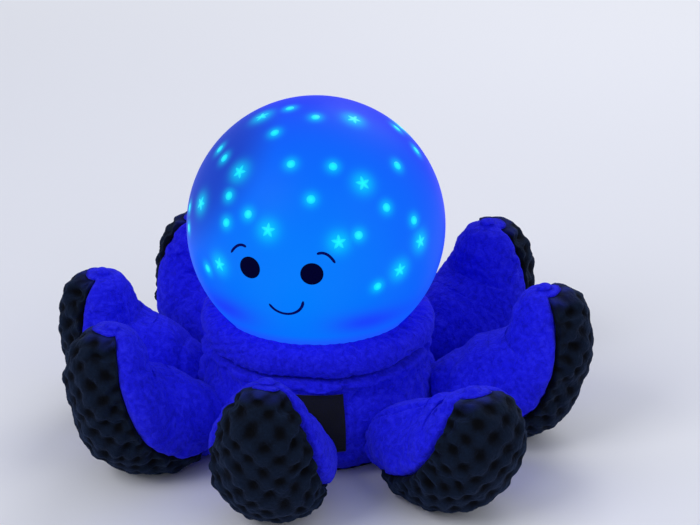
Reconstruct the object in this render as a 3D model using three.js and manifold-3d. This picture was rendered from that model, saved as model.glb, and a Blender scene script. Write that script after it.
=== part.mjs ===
// A plush octopus night light: a glowing globe with a printed face stands in the collar of a stuffed body with eight
// upturned tentacles. The globe and the battery housing under it are one rigid light unit that lifts out of the plush.
// Millimetres, +Z up, origin on the floor under the globe. The face looks along -Y.

import * as THREE from "three";
import { mergeVertices } from "three/addons/utils/BufferGeometryUtils.js";
import Module from "manifold-3d";

const wasm = await Module();
wasm.setup();

// Clearances
const fitGap = 0.3; // between moulded pieces that touch
const slideGap = 0.6; // round a piece that slides or is lifted out
const seamGap = 0.5; // between sewn pieces
const overrun = 5; // how far a cutting solid runs past what it cuts
const weldDistance = 0.0001;

// Globe
const globeRadius = 65;
const globeWall = 2;
const neckInset = 2; // how much narrower the neck is than the housing under it
const neckLength = 7;
const glowDomeWall = 1.2;
const globeSegments = 32;
const globeSteps = 11;
const innerSteps = 6;

// Light windows in the globe
const starRadius = 3.7;
const starWaistShare = 0.45;
const dotRadius = 2.1;
const dotSides = 5;
const starArms = 5;

// Printed face
const eyeRadius = 5.45;
const strokeWidth = 1.2;
const printThickness = 0.5;
const mouthRadius = 8.8;

// Control pod at the back of the globe
const podEndWidth = 10.25; // from the middle of the last button to the end of the pod
const podHalfHeight = 9.5;
const podWall = 1.6;
const podDepth = 9;
const podProud = 0.7;
const podLatitudeDeg = -8;
const podEndSteps = 4;
const podStraightSteps = 4;
const podBandCount = 2;
const roundSides = 12;
const ringSides = 16;
const buttonRadius = 4.4;
const buttonSpacing = 14.5;
const buttonProud = 1.6;
const buttonTravel = 1;
const buttonFlangeWidth = 1;
const buttonFlangeThickness = 1;
const boardThickness = 1.2;

// Battery housing
const housingMargin = 6.4; // from the corners of the battery bay to the outside of the housing
const housingWall = 2;
const footHeight = 2;
const footRadius = 4;
const plateThickness = 3.2;
const deckThickness = 2.5;
const deckRimHeight = 5;
const deckRimWall = 2;
const screwRadius = 1.5;
const screwHeadRadius = 2.7;
const screwHeadHeight = 1.2;
const screwLength = 9;
const doorScrewLength = 5.5; // short, so that it leaves its hole as the door starts to swing
const bossRadius = 3.3;

// Batteries, their bay and its door
const cellRadius = 7.1;
const cellLength = 49.2;
const cellNubRadius = 2.7;
const cellNubLength = 1.2;
const cellCount = 3;
const contactSpace = 2.6;
const contactThickness = 0.6;
const contactBumpRadius = 3;
const bayWall = 1.5;
const doorThickness = 2;
const doorTabLength = 8;
const doorTabWidth = 10;
const hingeBarrelRadius = 1.2;
const hingePinRadius = 0.8;
const hingePinLength = 1.6;

// Power switch under the base
const knobLength = 4;
const knobWidth = 3.6;
const knobProud = 1.1;
const switchTravel = 4;
const sliderThickness = 1;
const sliderMargin = 1.5;
const switchBodyHeight = 4;

// Speaker behind the front wall of the housing
const speakerRadius = 13;
const speakerDepth = 11;
const speakerRoom = 4.8; // height left above and below the speaker, where its shelves lie
const speakerRim = 1.6;
const shelfThickness = 1.4;
const magnetRadius = 7;
const magnetDepth = 5;
const slotHeight = 1.8;
const slotCount = 5;

// Light tower in the globe
const towerBaseRadius = 13;
const towerRadius = 5.5;
const towerTopBelowCentre = 14;
const lampBoardRadius = 14;
const lensRadius = 4.6;
const lensHeight = 7;
const glowLampRadius = 2.2;
const glowLampHeight = 3.4;
const glowLampCircle = 10;
const glowLampCount = 3;

// Plush body and collar
const bodyWidth = 17.9; // from the well to the widest line of the body
const bodyFloorWidth = 8.4;
const basePanelThickness = 1.2;
const foldHeight = 6;
const collarWidth = 12.9;
const collarHalfHeight = 9;
const collarContactWidth = 5.9; // from the well to the line where the globe rests on the collar
const collarSides = 12;
const bodySegments = 32;

// Label on the body, between the first two tentacles
const labelHeight = 29;
const labelThickness = 0.8;
const labelDrop = 1.5;
const labelStartDeg = 3;
const labelEndDeg = 28;

// Tentacles
const tentacleReach = 55; // from the body to the outermost point of the spine
const tentacleHeight = 86;
const tentacleThickness = 54;
const tentacleWidth = 59;
const rootLift = 4.5;
const soleThickness = 2.6;
const floorSink = 0.5;
const tentacleRings = 8;
const seamAngleDeg = 105;
const upperSteps = 6;
const soleSteps = 6;

// Azimuths are measured from the face, towards +X. The height and reach shares show which tentacles droop or lie closer
// in the photograph, and the twist turns a limb about its own line, so that its sole shows more on one side.
const tentacles = [
  { azimuthDeg: 3, heightShare: 0.92, reachShare: 0.84, twistDeg: 4 },
  { azimuthDeg: 53, heightShare: 0.79, reachShare: 1.05, twistDeg: 16 },
  { azimuthDeg: 97, heightShare: 0.99, reachShare: 1.01, twistDeg: 0 },
  { azimuthDeg: 141, heightShare: 1, reachShare: 1.01, twistDeg: 0 },
  { azimuthDeg: 186, heightShare: 0.96, reachShare: 0.87, twistDeg: 0 },
  { azimuthDeg: 232, heightShare: 0.96, reachShare: 0.88, twistDeg: 0 },
  { azimuthDeg: 277, heightShare: 0.94, reachShare: 0.95, twistDeg: 0 },
  { azimuthDeg: 314, heightShare: 0.97, reachShare: 0.94, twistDeg: 8 },
];

const buttonNames = ["button_power", "button_light", "button_sound", "button_volume"];

// Lengths, heights and radii that follow from the sizes above
const podHalfLength = ((buttonNames.length - 1) / 2) * buttonSpacing + podEndWidth;
const bayHalfLength = cellLength / 2 + cellNubLength / 2 + contactSpace;
const cellPitch = 2 * cellRadius + fitGap;
const bayHalfWidth = (cellCount * cellPitch) / 2 + fitGap;
const housingRadius = Math.hypot(bayHalfLength + bayWall, bayHalfWidth + bayWall) + housingMargin;
const plateBottom = footHeight;
const plateTop = plateBottom + plateThickness;
const doorBottom = plateBottom;
const doorTop = doorBottom + doorThickness;
const cellHeight = doorTop + fitGap + cellRadius;
const bayRoof = cellHeight + cellRadius + fitGap;
const housingBottom = plateTop + fitGap;
const housingTop = bayRoof + bayWall + boardThickness + 2 * speakerRadius + speakerRoom;
const deckBottom = housingTop + fitGap;
const deckTop = deckBottom + deckThickness;
const neckRadius = housingRadius - neckInset;
const neckBottom = deckTop + fitGap;
const neckTop = neckBottom + neckLength;
const globeCentreHeight = neckTop + Math.sqrt(globeRadius ** 2 - neckRadius ** 2);
const wellRadius = housingRadius + slideGap;
const bodyRadius = wellRadius + bodyWidth;
const bodyFloorRadius = wellRadius + bodyFloorWidth;
const collarOuterRadius = wellRadius + collarWidth;
const collarContactRadius = wellRadius + collarContactWidth;
const collarHeight = globeCentreHeight - Math.sqrt(globeRadius ** 2 - collarContactRadius ** 2) - collarHalfHeight;
const bodyTop = collarHeight - collarHalfHeight;

const deg = THREE.MathUtils.degToRad;
const v3 = (x, y, z) => new THREE.Vector3(x, y, z);

// Geometry to solid and back

function solidOf(geometry) {
  const bare = new THREE.BufferGeometry().setAttribute(
    "position",
    (geometry.index ? geometry.toNonIndexed() : geometry).getAttribute("position"),
  );
  const merged = mergeVertices(bare, weldDistance);
  return new wasm.Manifold(
    new wasm.Mesh({
      numProp: 3,
      vertProperties: merged.attributes.position.array,
      triVerts: new Uint32Array(merged.index.array),
    }),
  );
}

function geometryOf(solid) {
  const mesh = solid.getMesh();
  const positions = new Float32Array(mesh.numVert * 3);
  for (let i = 0; i < mesh.numVert; i++) {
    const first = i * mesh.numProp;
    positions.set(mesh.vertProperties.subarray(first, first + 3), i * 3);
  }
  return new THREE.BufferGeometry()
    .setAttribute("position", new THREE.BufferAttribute(positions, 3))
    .setIndex(new THREE.BufferAttribute(mesh.triVerts, 1));
}

// The base geometry with others added to it or cut from it.
function join(base, ...others) {
  return geometryOf(others.reduce((solid, other) => solid.add(solidOf(other)), solidOf(base)));
}

function cut(base, ...others) {
  return geometryOf(others.reduce((solid, other) => solid.subtract(solidOf(other)), solidOf(base)));
}

// Simple shapes

// A profile of [radius, height] pairs turned about the Z axis.
function lathe(profile, segments) {
  const area = profile.reduce((sum, [r, z], i) => {
    const [nextR, nextZ] = profile[(i + 1) % profile.length];
    return sum + r * nextZ - nextR * z;
  }, 0);
  const ordered = area > 0 ? profile : [...profile].reverse();
  const onAxis = ordered.some(([r]) => r === 0);
  if (onAxis) {
    while (ordered[0][0] !== 0 || ordered[ordered.length - 1][0] !== 0) ordered.push(ordered.shift());
  } else {
    ordered.push(ordered[0]);
  }
  const points = ordered.map(([r, z]) => new THREE.Vector2(r, z));
  return new THREE.LatheGeometry(points, segments).rotateX(Math.PI / 2);
}

function cylinder(radius, bottom, top, sides = roundSides) {
  return lathe([[0, bottom], [radius, bottom], [radius, top], [0, top]], sides);
}

// A block given by its lowest and highest corners.
function block([x0, y0, z0], [x1, y1, z1]) {
  return new THREE.BoxGeometry(x1 - x0, y1 - y0, z1 - z0).translate((x0 + x1) / 2, (y0 + y1) / 2, (z0 + z1) / 2);
}

// Closed skin over rings of points that each close on themselves. The two halves of a ring face each other across the
// section, and rungs between them cap both ends. Each four-sided facet is split along its shorter diagonal, so that a
// panel and the limb under it are split alike.
function ringSolid(rings) {
  const n = rings[0].length;
  const points = rings.flat();
  const faces = [];
  const facet = (a, b, c, d) => {
    const oneWay = points[a].distanceTo(points[c]);
    const otherWay = points[b].distanceTo(points[d]);
    faces.push(...(oneWay <= otherWay ? [a, b, c, a, c, d] : [a, b, d, b, c, d]));
  };
  for (let i = 0; i + 1 < rings.length; i++) {
    for (let j = 0; j < n; j++) {
      const a = i * n + j;
      const b = i * n + ((j + 1) % n);
      facet(a, b, b + n, a + n);
    }
  }
  const last = (rings.length - 1) * n;
  for (let j = 0; j < n / 2 - 1; j++) {
    facet(n - 1 - j, n - 2 - j, j + 1, j);
    facet(last + j, last + j + 1, last + n - 2 - j, last + n - 1 - j);
  }
  const geometry = new THREE.BufferGeometry().setFromPoints(points).setIndex(faces);
  return solidOf(geometry).volume() > 0 ? geometry : flipped(geometry);
}

function flipped(geometry) {
  const index = [...geometry.index.array];
  for (let i = 0; i < index.length; i += 3) [index[i], index[i + 1]] = [index[i + 1], index[i]];
  return geometry.clone().setIndex(index);
}

// Places on the globe, whose centre is the origin here

function directionAt(azimuthDeg, latitudeDeg) {
  const a = deg(azimuthDeg);
  const l = deg(latitudeDeg);
  return v3(Math.sin(a) * Math.cos(l), -Math.cos(a) * Math.cos(l), Math.sin(l));
}

// The direction that lies (east, north) millimetres along the globe's surface from a place on it.
function directionNear(azimuthDeg, latitudeDeg, east, north) {
  const centre = directionAt(azimuthDeg, latitudeDeg);
  const eastward = directionAt(azimuthDeg + 90, 0);
  const northward = centre.clone().cross(eastward);
  const step = eastward.multiplyScalar(east).add(northward.multiplyScalar(north));
  const angle = step.length() / globeRadius;
  if (angle === 0) return centre;
  return centre.multiplyScalar(Math.cos(angle)).add(step.normalize().multiplyScalar(Math.sin(angle)));
}

// A patch of shell between two radii: its outline is a list of [east, north] offsets round a place on the globe.
function globePatch(place, outline, innerRadius, outerRadius, bands = 1) {
  const n = outline.length;
  const layer = (radius) => {
    const points = [directionNear(place[0], place[1], 0, 0).multiplyScalar(radius)];
    for (let band = 1; band <= bands; band++) {
      const share = band / bands;
      for (const [east, north] of outline) {
        points.push(directionNear(place[0], place[1], east * share, north * share).multiplyScalar(radius));
      }
    }
    return points;
  };
  const inner = layer(innerRadius);
  const offset = inner.length;
  const faces = [];
  for (let j = 0; j < n; j++) {
    const next = (j + 1) % n;
    faces.push(offset, offset + 1 + j, offset + 1 + next, 0, 1 + next, 1 + j);
    for (let band = 1; band < bands; band++) {
      const a = 1 + (band - 1) * n + j;
      const b = 1 + (band - 1) * n + next;
      faces.push(offset + a, offset + a + n, offset + b + n, offset + a, offset + b + n, offset + b);
      faces.push(a, b + n, a + n, a, b, b + n);
    }
    const a = 1 + (bands - 1) * n + j;
    const b = 1 + (bands - 1) * n + next;
    faces.push(a, b, offset + b, a, offset + b, offset + a);
  }
  return new THREE.BufferGeometry().setFromPoints([...inner, ...layer(outerRadius)]).setIndex(faces);
}

function circleOutline(radius, sides) {
  return Array.from({ length: sides }, (_, i) => {
    const a = (2 * Math.PI * i) / sides;
    return [radius * Math.cos(a), radius * Math.sin(a)];
  });
}

function starOutline(radius) {
  return Array.from({ length: 2 * starArms }, (_, i) => {
    const a = Math.PI / 2 + (Math.PI * i) / starArms;
    const r = i % 2 ? starWaistShare * radius : radius;
    return [r * Math.cos(a), r * Math.sin(a)];
  });
}

// A long round-ended outline, with extra corners on its straight sides so that they follow the globe.
function stadiumOutline(halfLength, halfHeight) {
  const half = halfLength - halfHeight;
  const end = (side) =>
    Array.from({ length: podEndSteps + 1 }, (_, i) => {
      const a = (Math.PI * i) / podEndSteps - Math.PI / 2;
      return [side * (half + halfHeight * Math.cos(a)), side * halfHeight * Math.sin(a)];
    });
  const straight = (side) =>
    Array.from({ length: podStraightSteps - 1 }, (_, i) => {
      return [side * half * (1 - (2 * (i + 1)) / podStraightSteps), side * halfHeight];
    });
  return [...end(1), ...straight(1), ...end(-1), ...straight(-1)];
}

// A printed stroke: a band that follows directions on the globe.
function globeStroke(directions, halfWidth, innerRadius, outerRadius) {
  const rings = directions.map((direction, i) => {
    const before = directions[Math.max(i - 1, 0)];
    const after = directions[Math.min(i + 1, directions.length - 1)];
    const side = after.clone().sub(before).cross(direction).normalize().multiplyScalar(halfWidth);
    const at = (radius, sign) => direction.clone().multiplyScalar(radius).addScaledVector(side, sign);
    return [at(innerRadius, -1), at(innerRadius, 1), at(outerRadius, 1), at(outerRadius, -1)];
  });
  return ringSolid(rings);
}

// Light windows: stars and dots

const frontWindows = [
  ["star", -63, 66], ["dot", -50, 78], ["dot", 16, 75], ["star", 68, 69], ["dot", -24, 62], ["dot", 105, 52],
  ["dot", 98, 40], ["dot", -63, 43], ["dot", -50, 42], ["star", -31, 40], ["dot", 0, 48], ["dot", 26, 47],
  ["dot", 68, 41], ["star", 41, 38], ["dot", -31, 29], ["star", -50, 20], ["dot", -64, 13], ["dot", 13, 33],
  ["dot", 50, 26], ["dot", -17, 24], ["dot", -28, 18], ["dot", -60, 5], ["star", -6, 19], ["dot", 64, 17],
  ["star", 25, 15], ["dot", 34, 17], ["star", 66, 7], ["star", -30, -1], ["dot", -39, -6], ["star", 53, -2],
  ["dot", 42, -7],
];

// Staggered rows over the back of the globe
const backSpanDeg = [96, 272];

function backWindows() {
  const rows = [
    { latitude: 20, count: 5 },
    { latitude: 48, count: 4 },
  ];
  const [start, end] = backSpanDeg;
  return rows.flatMap(({ latitude, count }, row) =>
    Array.from({ length: count }, (_, i) => {
      const azimuth = start + ((end - start) * (i + 0.5)) / count;
      return [(i + row) % 2 ? "star" : "dot", azimuth, latitude];
    }),
  );
}

function windowOutline(kind) {
  return kind === "star" ? starOutline(starRadius) : circleOutline(dotRadius, dotSides);
}

const windows = [...frontWindows, ...backWindows()];

// Face

const faceMarks = {
  eye: [13.5, 1.8],
  brow: [[15.6, 10.4], [19.6, 10.3], [23.2, 6.3]],
  mouthCentre: [1.8, -11.6],
  mouthHalfAngleDeg: 76,
  mouthTiltDeg: 8,
};

function browDirections(side) {
  const [inner, peak, outer] = faceMarks.brow.map(([azimuth, latitude]) => directionAt(side * azimuth, latitude));
  return new THREE.CatmullRomCurve3([inner, peak, outer]).getPoints(4).map((p) => p.normalize());
}

function mouthDirections() {
  const steps = 8;
  return Array.from({ length: steps + 1 }, (_, i) => {
    const a = deg(faceMarks.mouthTiltDeg - 90 + faceMarks.mouthHalfAngleDeg * ((2 * i) / steps - 1));
    const [azimuth, latitude] = faceMarks.mouthCentre;
    return directionNear(azimuth, latitude, mouthRadius * Math.cos(a), mouthRadius * Math.sin(a));
  });
}

// Prints by name, and the shallow pockets that they lie in.
function facePrints(grow, innerRadius, outerRadius) {
  const eyes = { eye_right: 1, eye_left: -1 };
  const brows = { brow_right: 1, brow_left: -1 };
  const made = {};
  for (const [name, side] of Object.entries(eyes)) {
    const [azimuth, latitude] = faceMarks.eye;
    made[name] = globePatch([side * azimuth, latitude], circleOutline(eyeRadius + grow, ringSides), innerRadius, outerRadius);
  }
  for (const [name, side] of Object.entries(brows)) {
    made[name] = globeStroke(stretched(browDirections(side), grow), strokeWidth / 2 + grow, innerRadius, outerRadius);
  }
  made.mouth = globeStroke(stretched(mouthDirections(), grow), strokeWidth / 2 + grow, innerRadius, outerRadius);
  return made;
}

// A line of directions made longer at both ends by some millimetres on the globe.
function stretched(directions, length) {
  if (length === 0) return directions;
  const beyond = (end, next) => {
    const away = end.clone().sub(next).normalize();
    return end.clone().addScaledVector(away, length / globeRadius).normalize();
  };
  const last = directions.length - 1;
  return [
    beyond(directions[0], directions[1]),
    ...directions,
    beyond(directions[last], directions[last - 1]),
  ];
}

// Globe shells

function arcProfile(radius, fromDeg, toDeg, steps) {
  return Array.from({ length: steps + 1 }, (_, i) => {
    const a = deg(fromDeg + ((toDeg - fromDeg) * i) / steps);
    return [Math.abs(Math.cos(a)) < 1e-9 ? 0 : radius * Math.cos(a), radius * Math.sin(a)];
  });
}

const latitudeAt = (radius, sphereRadius) => THREE.MathUtils.radToDeg(-Math.acos(radius / sphereRadius));
const shellInside = globeRadius - globeWall;

// Corners of the inside of the globe, from the neck to the top, at another radius.
function innerArc(radius) {
  return arcProfile(radius, latitudeAt(neckRadius - globeWall, shellInside), 90, innerSteps);
}

function globeShell() {
  const blank = lathe(
    [
      ...arcProfile(globeRadius, 90, latitudeAt(neckRadius, globeRadius), globeSteps),
      [neckRadius, neckBottom - globeCentreHeight],
      [neckRadius - globeWall, neckBottom - globeCentreHeight],
      ...innerArc(shellInside),
    ],
    globeSegments,
  );
  const pockets = Object.values(facePrints(fitGap, globeRadius - printThickness - fitGap, globeRadius + overrun));
  const holes = windows.map(([kind, azimuth, latitude]) =>
    globePatch([azimuth, latitude], windowOutline(kind), shellInside - overrun, globeRadius + overrun),
  );
  return cut(blank, ...pockets, ...holes, podCutter(fitGap)).translate(0, 0, globeCentreHeight);
}

// The lit inner dome lies against the shell and shows through the windows. It starts at the last corner of the shell
// that lies below the control pod.
function glowDome() {
  const podEdge = shellInside * Math.sin(deg(podLatitudeDeg) - (podHalfHeight + fitGap) / globeRadius);
  const start = innerArc(shellInside).findLastIndex(([, z]) => z < podEdge);
  const outside = innerArc(shellInside - fitGap).slice(start);
  const inside = innerArc(shellInside - fitGap - glowDomeWall).slice(start);
  return cut(lathe([...outside, ...inside.reverse()], globeSegments), podCutter(fitGap))
    .translate(0, 0, globeCentreHeight);
}

// Control pod

const podPlace = [180, podLatitudeDeg];
const podFloor = globeRadius - podDepth;

function podCutter(grow) {
  const outline = stadiumOutline(podHalfLength + grow, podHalfHeight + grow);
  return globePatch(podPlace, outline, podFloor - overrun, globeRadius + overrun, podBandCount);
}

function buttonDirection(i) {
  return directionNear(...podPlace, (i - (buttonNames.length - 1) / 2) * buttonSpacing, 0);
}

// Turns a shape built along +Z so that it stands on a direction from the globe's centre.
function standOn(geometry, direction) {
  const turn = new THREE.Quaternion().setFromUnitVectors(v3(0, 0, 1), direction);
  return geometry.applyQuaternion(turn);
}

const podFaceThickness = 1.8;
const podTop = globeRadius + podProud;
const flangeTop = podTop - podFaceThickness - 4 * fitGap;

function podBezel() {
  const face = globePatch(podPlace, stadiumOutline(podHalfLength, podHalfHeight), podFloor, podTop, podBandCount);
  const hollow = stadiumOutline(podHalfLength - podWall, podHalfHeight - podWall);
  const cavity = globePatch(podPlace, hollow, podFloor - overrun, podTop - podFaceThickness, podBandCount);
  const holes = buttonNames.map((_, i) =>
    standOn(cylinder(buttonRadius + slideGap, podFloor, podTop + overrun), buttonDirection(i)),
  );
  return cut(face, cavity, ...holes).translate(0, 0, globeCentreHeight);
}

function podButton(i) {
  const top = podTop + buttonProud;
  const flangeRadius = buttonRadius + buttonFlangeWidth;
  const flangeBottom = flangeTop - buttonFlangeThickness;
  const edge = buttonProud / 3;
  const profile = [
    [0, flangeBottom],
    [flangeRadius, flangeBottom],
    [flangeRadius, flangeTop],
    [buttonRadius, flangeTop],
    [buttonRadius, top - edge],
    [buttonRadius - edge, top],
    [0, top],
  ];
  return standOn(lathe(profile, roundSides), buttonDirection(i)).translate(0, 0, globeCentreHeight);
}

function podBoard() {
  const boardBottom = podFloor + fitGap;
  const boardTop = boardBottom + boardThickness;
  const keyTop = flangeTop - buttonFlangeThickness - buttonTravel - fitGap;
  const margin = podWall + fitGap;
  const outline = stadiumOutline(podHalfLength - margin, podHalfHeight - margin);
  const board = globePatch(podPlace, outline, boardBottom, boardTop, podBandCount);
  const keys = buttonNames.map((_, i) =>
    standOn(cylinder(buttonRadius / 2, boardBottom + boardThickness / 2, keyTop, 8), buttonDirection(i)),
  );
  return join(board, ...keys).translate(0, 0, globeCentreHeight);
}

// Light tower

const towerBottom = deckTop + fitGap;
const towerTop = globeCentreHeight - towerTopBelowCentre;

function lightTower() {
  const footTop = towerBottom + deckThickness;
  return lathe(
    [
      [0, towerBottom],
      [towerBaseRadius, towerBottom],
      [towerBaseRadius, footTop],
      [towerRadius + deckThickness, footTop + deckThickness],
      [towerRadius, towerTop],
      [0, towerTop],
    ],
    roundSides,
  );
}

// The lamp board carries a ring of soldered glow lamps round the projector lamp.
function lampBoard() {
  const bottom = towerTop + fitGap;
  const top = bottom + boardThickness;
  const glowLamps = Array.from({ length: glowLampCount }, (_, i) => {
    const a = (2 * Math.PI * i) / glowLampCount;
    return domedLamp(glowLampRadius, glowLampHeight, 2, top - boardThickness / 2, 8)
      .translate(glowLampCircle * Math.cos(a), glowLampCircle * Math.sin(a), 0);
  });
  return join(cylinder(lampBoardRadius, bottom, top, ringSides), ...glowLamps);
}

function projectorLamp() {
  return domedLamp(lensRadius, lensHeight, 4, towerTop + 2 * fitGap + boardThickness, roundSides);
}

function domedLamp(radius, height, steps, seat, sides) {
  const dome = arcProfile(radius, 0, 90, steps).map(([r, z]) => [r, z + seat + height - radius]);
  return lathe([[0, seat], [radius, seat], ...dome], sides);
}

// Deck that closes the housing and carries the globe's neck

function chassisDeck() {
  const innerRim = neckRadius - globeWall - fitGap;
  const rimTop = deckTop + deckRimHeight;
  return lathe(
    [
      [towerRadius / 2, deckBottom],
      [housingRadius, deckBottom],
      [housingRadius, deckTop],
      [innerRim, deckTop],
      [innerRim, rimTop],
      [innerRim - deckRimWall, rimTop],
      [innerRim - deckRimWall, deckTop],
      [towerRadius / 2, deckTop],
    ],
    bodySegments,
  );
}

// Places round the battery bay, about the origin

const hingeX = -(bayHalfLength + hingeBarrelRadius);
const hingeHeight = plateBottom + plateThickness / 2;
const doorEnd = bayHalfLength - fitGap;
const doorHalfWidth = bayHalfWidth - fitGap;
const doorScrewX = bayHalfLength + bayWall + screwHeadRadius;
const doorTabEnd = bayHalfLength + doorTabLength;
const housingScrews = [-1, 1].flatMap((sx) => [-1, 1].map((sy) => [sx, sy])).map(([sx, sy]) => {
  const ring = housingRadius - housingWall - bossRadius;
  const a = deg(19.5);
  return [sx * ring * Math.cos(a), sy * ring * Math.sin(a)];
});
const feet = [60, 120, 240, 300].map((a) => {
  const ring = housingRadius - housingWall - footRadius;
  return [ring * Math.cos(deg(a)), ring * Math.sin(deg(a))];
});
const switchY = -(bayHalfWidth + bayWall + knobWidth / 2 + sliderMargin + 2 * fitGap);
const slotHalfLength = (knobLength + switchTravel) / 2 + fitGap;
const screwTop = plateBottom + screwLength;
const doorScrewTop = plateBottom + doorScrewLength;

function housingCup() {
  const inside = housingRadius - housingWall;
  const wall = lathe(
    [
      [inside, housingBottom],
      [housingRadius, housingBottom],
      [housingRadius, housingTop],
      [inside, housingTop],
    ],
    bodySegments,
  );
  const bosses = housingScrews.map(([x, y]) =>
    cylinder(bossRadius + fitGap, housingBottom, screwTop + housingWall, 12).translate(x, y, 0),
  );
  const pilots = housingScrews.map(([x, y]) =>
    cylinder(screwRadius + fitGap, plateBottom, screwTop + fitGap, 10).translate(x, y, 0),
  );
  const shelfFront = -Math.sqrt(inside ** 2 - speakerRadius ** 2);
  const shelves = [1, -1].map((side) => {
    const near = speakerHeight + side * (speakerRadius + fitGap);
    const far = near + side * shelfThickness;
    return block(
      [-speakerRadius / 2, -inside - housingWall / 2, Math.min(near, far)],
      [speakerRadius / 2, shelfFront + speakerDepth, Math.max(near, far)],
    );
  });
  const slots = Array.from({ length: slotCount }, (_, i) => {
    const z = speakerHeight + (i - (slotCount - 1) / 2) * 2 * slotHeight;
    const half = Math.sqrt(speakerRadius ** 2 - (z - speakerHeight) ** 2) - housingWall;
    return block([-half, -housingRadius - overrun, z - slotHeight / 2], [half, -speakerFront + fitGap, z + slotHeight / 2]);
  });
  return cut(join(wall, ...bosses, ...shelves), ...pilots, ...slots);
}

function basePlate() {
  const plate = cylinder(housingRadius, plateBottom, plateTop, bodySegments);
  const bay = block(
    [-bayHalfLength - bayWall, -bayHalfWidth - bayWall, plateTop - plateThickness / 4],
    [bayHalfLength + bayWall, bayHalfWidth + bayWall, bayRoof + bayWall],
  );
  const doorBoss = cylinder(bossRadius, plateTop - plateThickness / 4, doorScrewTop + bayWall).translate(doorScrewX, 0, 0);
  const bayHollow = block([-bayHalfLength, -bayHalfWidth, plateBottom - overrun], [bayHalfLength, bayHalfWidth, bayRoof]);
  const recessEnd = hingeX - hingeBarrelRadius - slideGap - fitGap;
  const hingeRecess = block([recessEnd, -bayHalfWidth, plateBottom - overrun], [0, bayHalfWidth, plateTop]);
  const tabTop = doorTop + fitGap;
  const tabRecess = block(
    [0, -doorTabWidth / 2 - fitGap, plateBottom - overrun],
    [doorTabEnd + fitGap, doorTabWidth / 2 + fitGap, tabTop],
  );
  const pinHoles = barAlongY(hingePinRadius + fitGap, 2 * (doorHalfWidth + hingePinLength + fitGap))
    .translate(hingeX, 0, hingeHeight);
  const doorPilot = cylinder(screwRadius + fitGap, plateBottom, doorScrewTop + fitGap, 10).translate(doorScrewX, 0, 0);
  const screwHoles = housingScrews.flatMap(([x, y]) => [
    cylinder(screwRadius + fitGap, plateBottom - overrun, plateTop + overrun, 10).translate(x, y, 0),
    cylinder(screwHeadRadius + fitGap, plateBottom - overrun, plateBottom + screwHeadHeight + fitGap, 12).translate(x, y, 0),
  ]);
  const footRecesses = feet.map(([x, y]) =>
    cylinder(footRadius + fitGap, plateBottom - overrun, plateBottom + footHeight / 2).translate(x, y, 0),
  );
  const switchSlot = block(
    [-slotHalfLength, switchY - knobWidth / 2 - fitGap, plateBottom - overrun],
    [slotHalfLength, switchY + knobWidth / 2 + fitGap, plateTop + overrun],
  );
  return cut(
    join(plate, bay, doorBoss),
    bayHollow,
    hingeRecess,
    tabRecess,
    pinHoles,
    doorPilot,
    ...screwHoles,
    ...footRecesses,
    switchSlot,
  );
}

// A round bar along Y, with its middle at the origin.
function barAlongY(radius, length) {
  return cylinder(radius, -length / 2, length / 2).rotateX(Math.PI / 2);
}

function batteryDoor() {
  const panel = block([hingeX, -doorHalfWidth, doorBottom], [doorEnd, doorHalfWidth, doorTop]);
  const tab = block([0, -doorTabWidth / 2, doorBottom], [doorTabEnd, doorTabWidth / 2, doorTop]);
  const barrel = barAlongY(hingeBarrelRadius, 2 * doorHalfWidth).translate(hingeX, 0, hingeHeight);
  const pin = barAlongY(hingePinRadius, 2 * (doorHalfWidth + hingePinLength)).translate(hingeX, 0, hingeHeight);
  const screwHole = cylinder(screwRadius + fitGap, doorBottom - overrun, doorTop + overrun, 10).translate(doorScrewX, 0, 0);
  const headHole = cylinder(screwHeadRadius + fitGap, doorBottom - overrun, doorBottom + screwHeadHeight + fitGap, 12)
    .translate(doorScrewX, 0, 0);
  return cut(join(panel, tab, barrel, pin), screwHole, headHole);
}

function screwAt(x, y, top) {
  const shank = cylinder(screwRadius, plateBottom, top, 8);
  const head = cylinder(screwHeadRadius, plateBottom, plateBottom + screwHeadHeight, 8);
  const slot = block(
    [-screwHeadRadius, -screwRadius / 4, plateBottom - overrun],
    [screwHeadRadius, screwRadius / 4, plateBottom + screwHeadHeight / 2],
  );
  return cut(join(shank, head), slot).translate(x, y, 0);
}

function rubberFoot([x, y]) {
  const edge = footHeight / 4;
  const top = plateBottom + footHeight / 2 - fitGap;
  const profile = [[0, 0], [footRadius - edge, 0], [footRadius, edge], [footRadius, top], [0, top]];
  return lathe(profile, roundSides).translate(x, y, 0);
}

function batteryCell(i) {
  const body = [
    [0, 0],
    [cellRadius, 0],
    [cellRadius, cellLength],
    [cellNubRadius, cellLength],
    [cellNubRadius, cellLength + cellNubLength],
    [0, cellLength + cellNubLength],
  ];
  const side = i % 2 ? -1 : 1;
  const y = (i - (cellCount - 1) / 2) * cellPitch;
  return lathe(body, roundSides)
    .translate(0, 0, -(cellLength + cellNubLength) / 2)
    .rotateY((side * Math.PI) / 2)
    .translate(0, y, cellHeight);
}

// A contact plate with a bump that meets each cell.
function contactPlate(side) {
  const outer = bayHalfLength - fitGap;
  const inner = outer - contactThickness;
  const halfWidth = bayHalfWidth - fitGap;
  const plate = block([inner, -halfWidth, doorTop + fitGap], [outer, halfWidth, bayRoof - fitGap]);
  const reach = (cellLength + cellNubLength) / 2 + fitGap;
  const bumps = Array.from({ length: cellCount }, (_, i) => {
    const y = (i - (cellCount - 1) / 2) * cellPitch;
    const cone = lathe([[0, 0], [contactBumpRadius, 0], [contactBumpRadius / 2, outer - reach], [0, outer - reach]], 6);
    return cone.rotateY(-Math.PI / 2).translate(outer, y, cellHeight);
  });
  return join(plate, ...bumps).rotateZ(side > 0 ? 0 : Math.PI);
}

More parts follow.
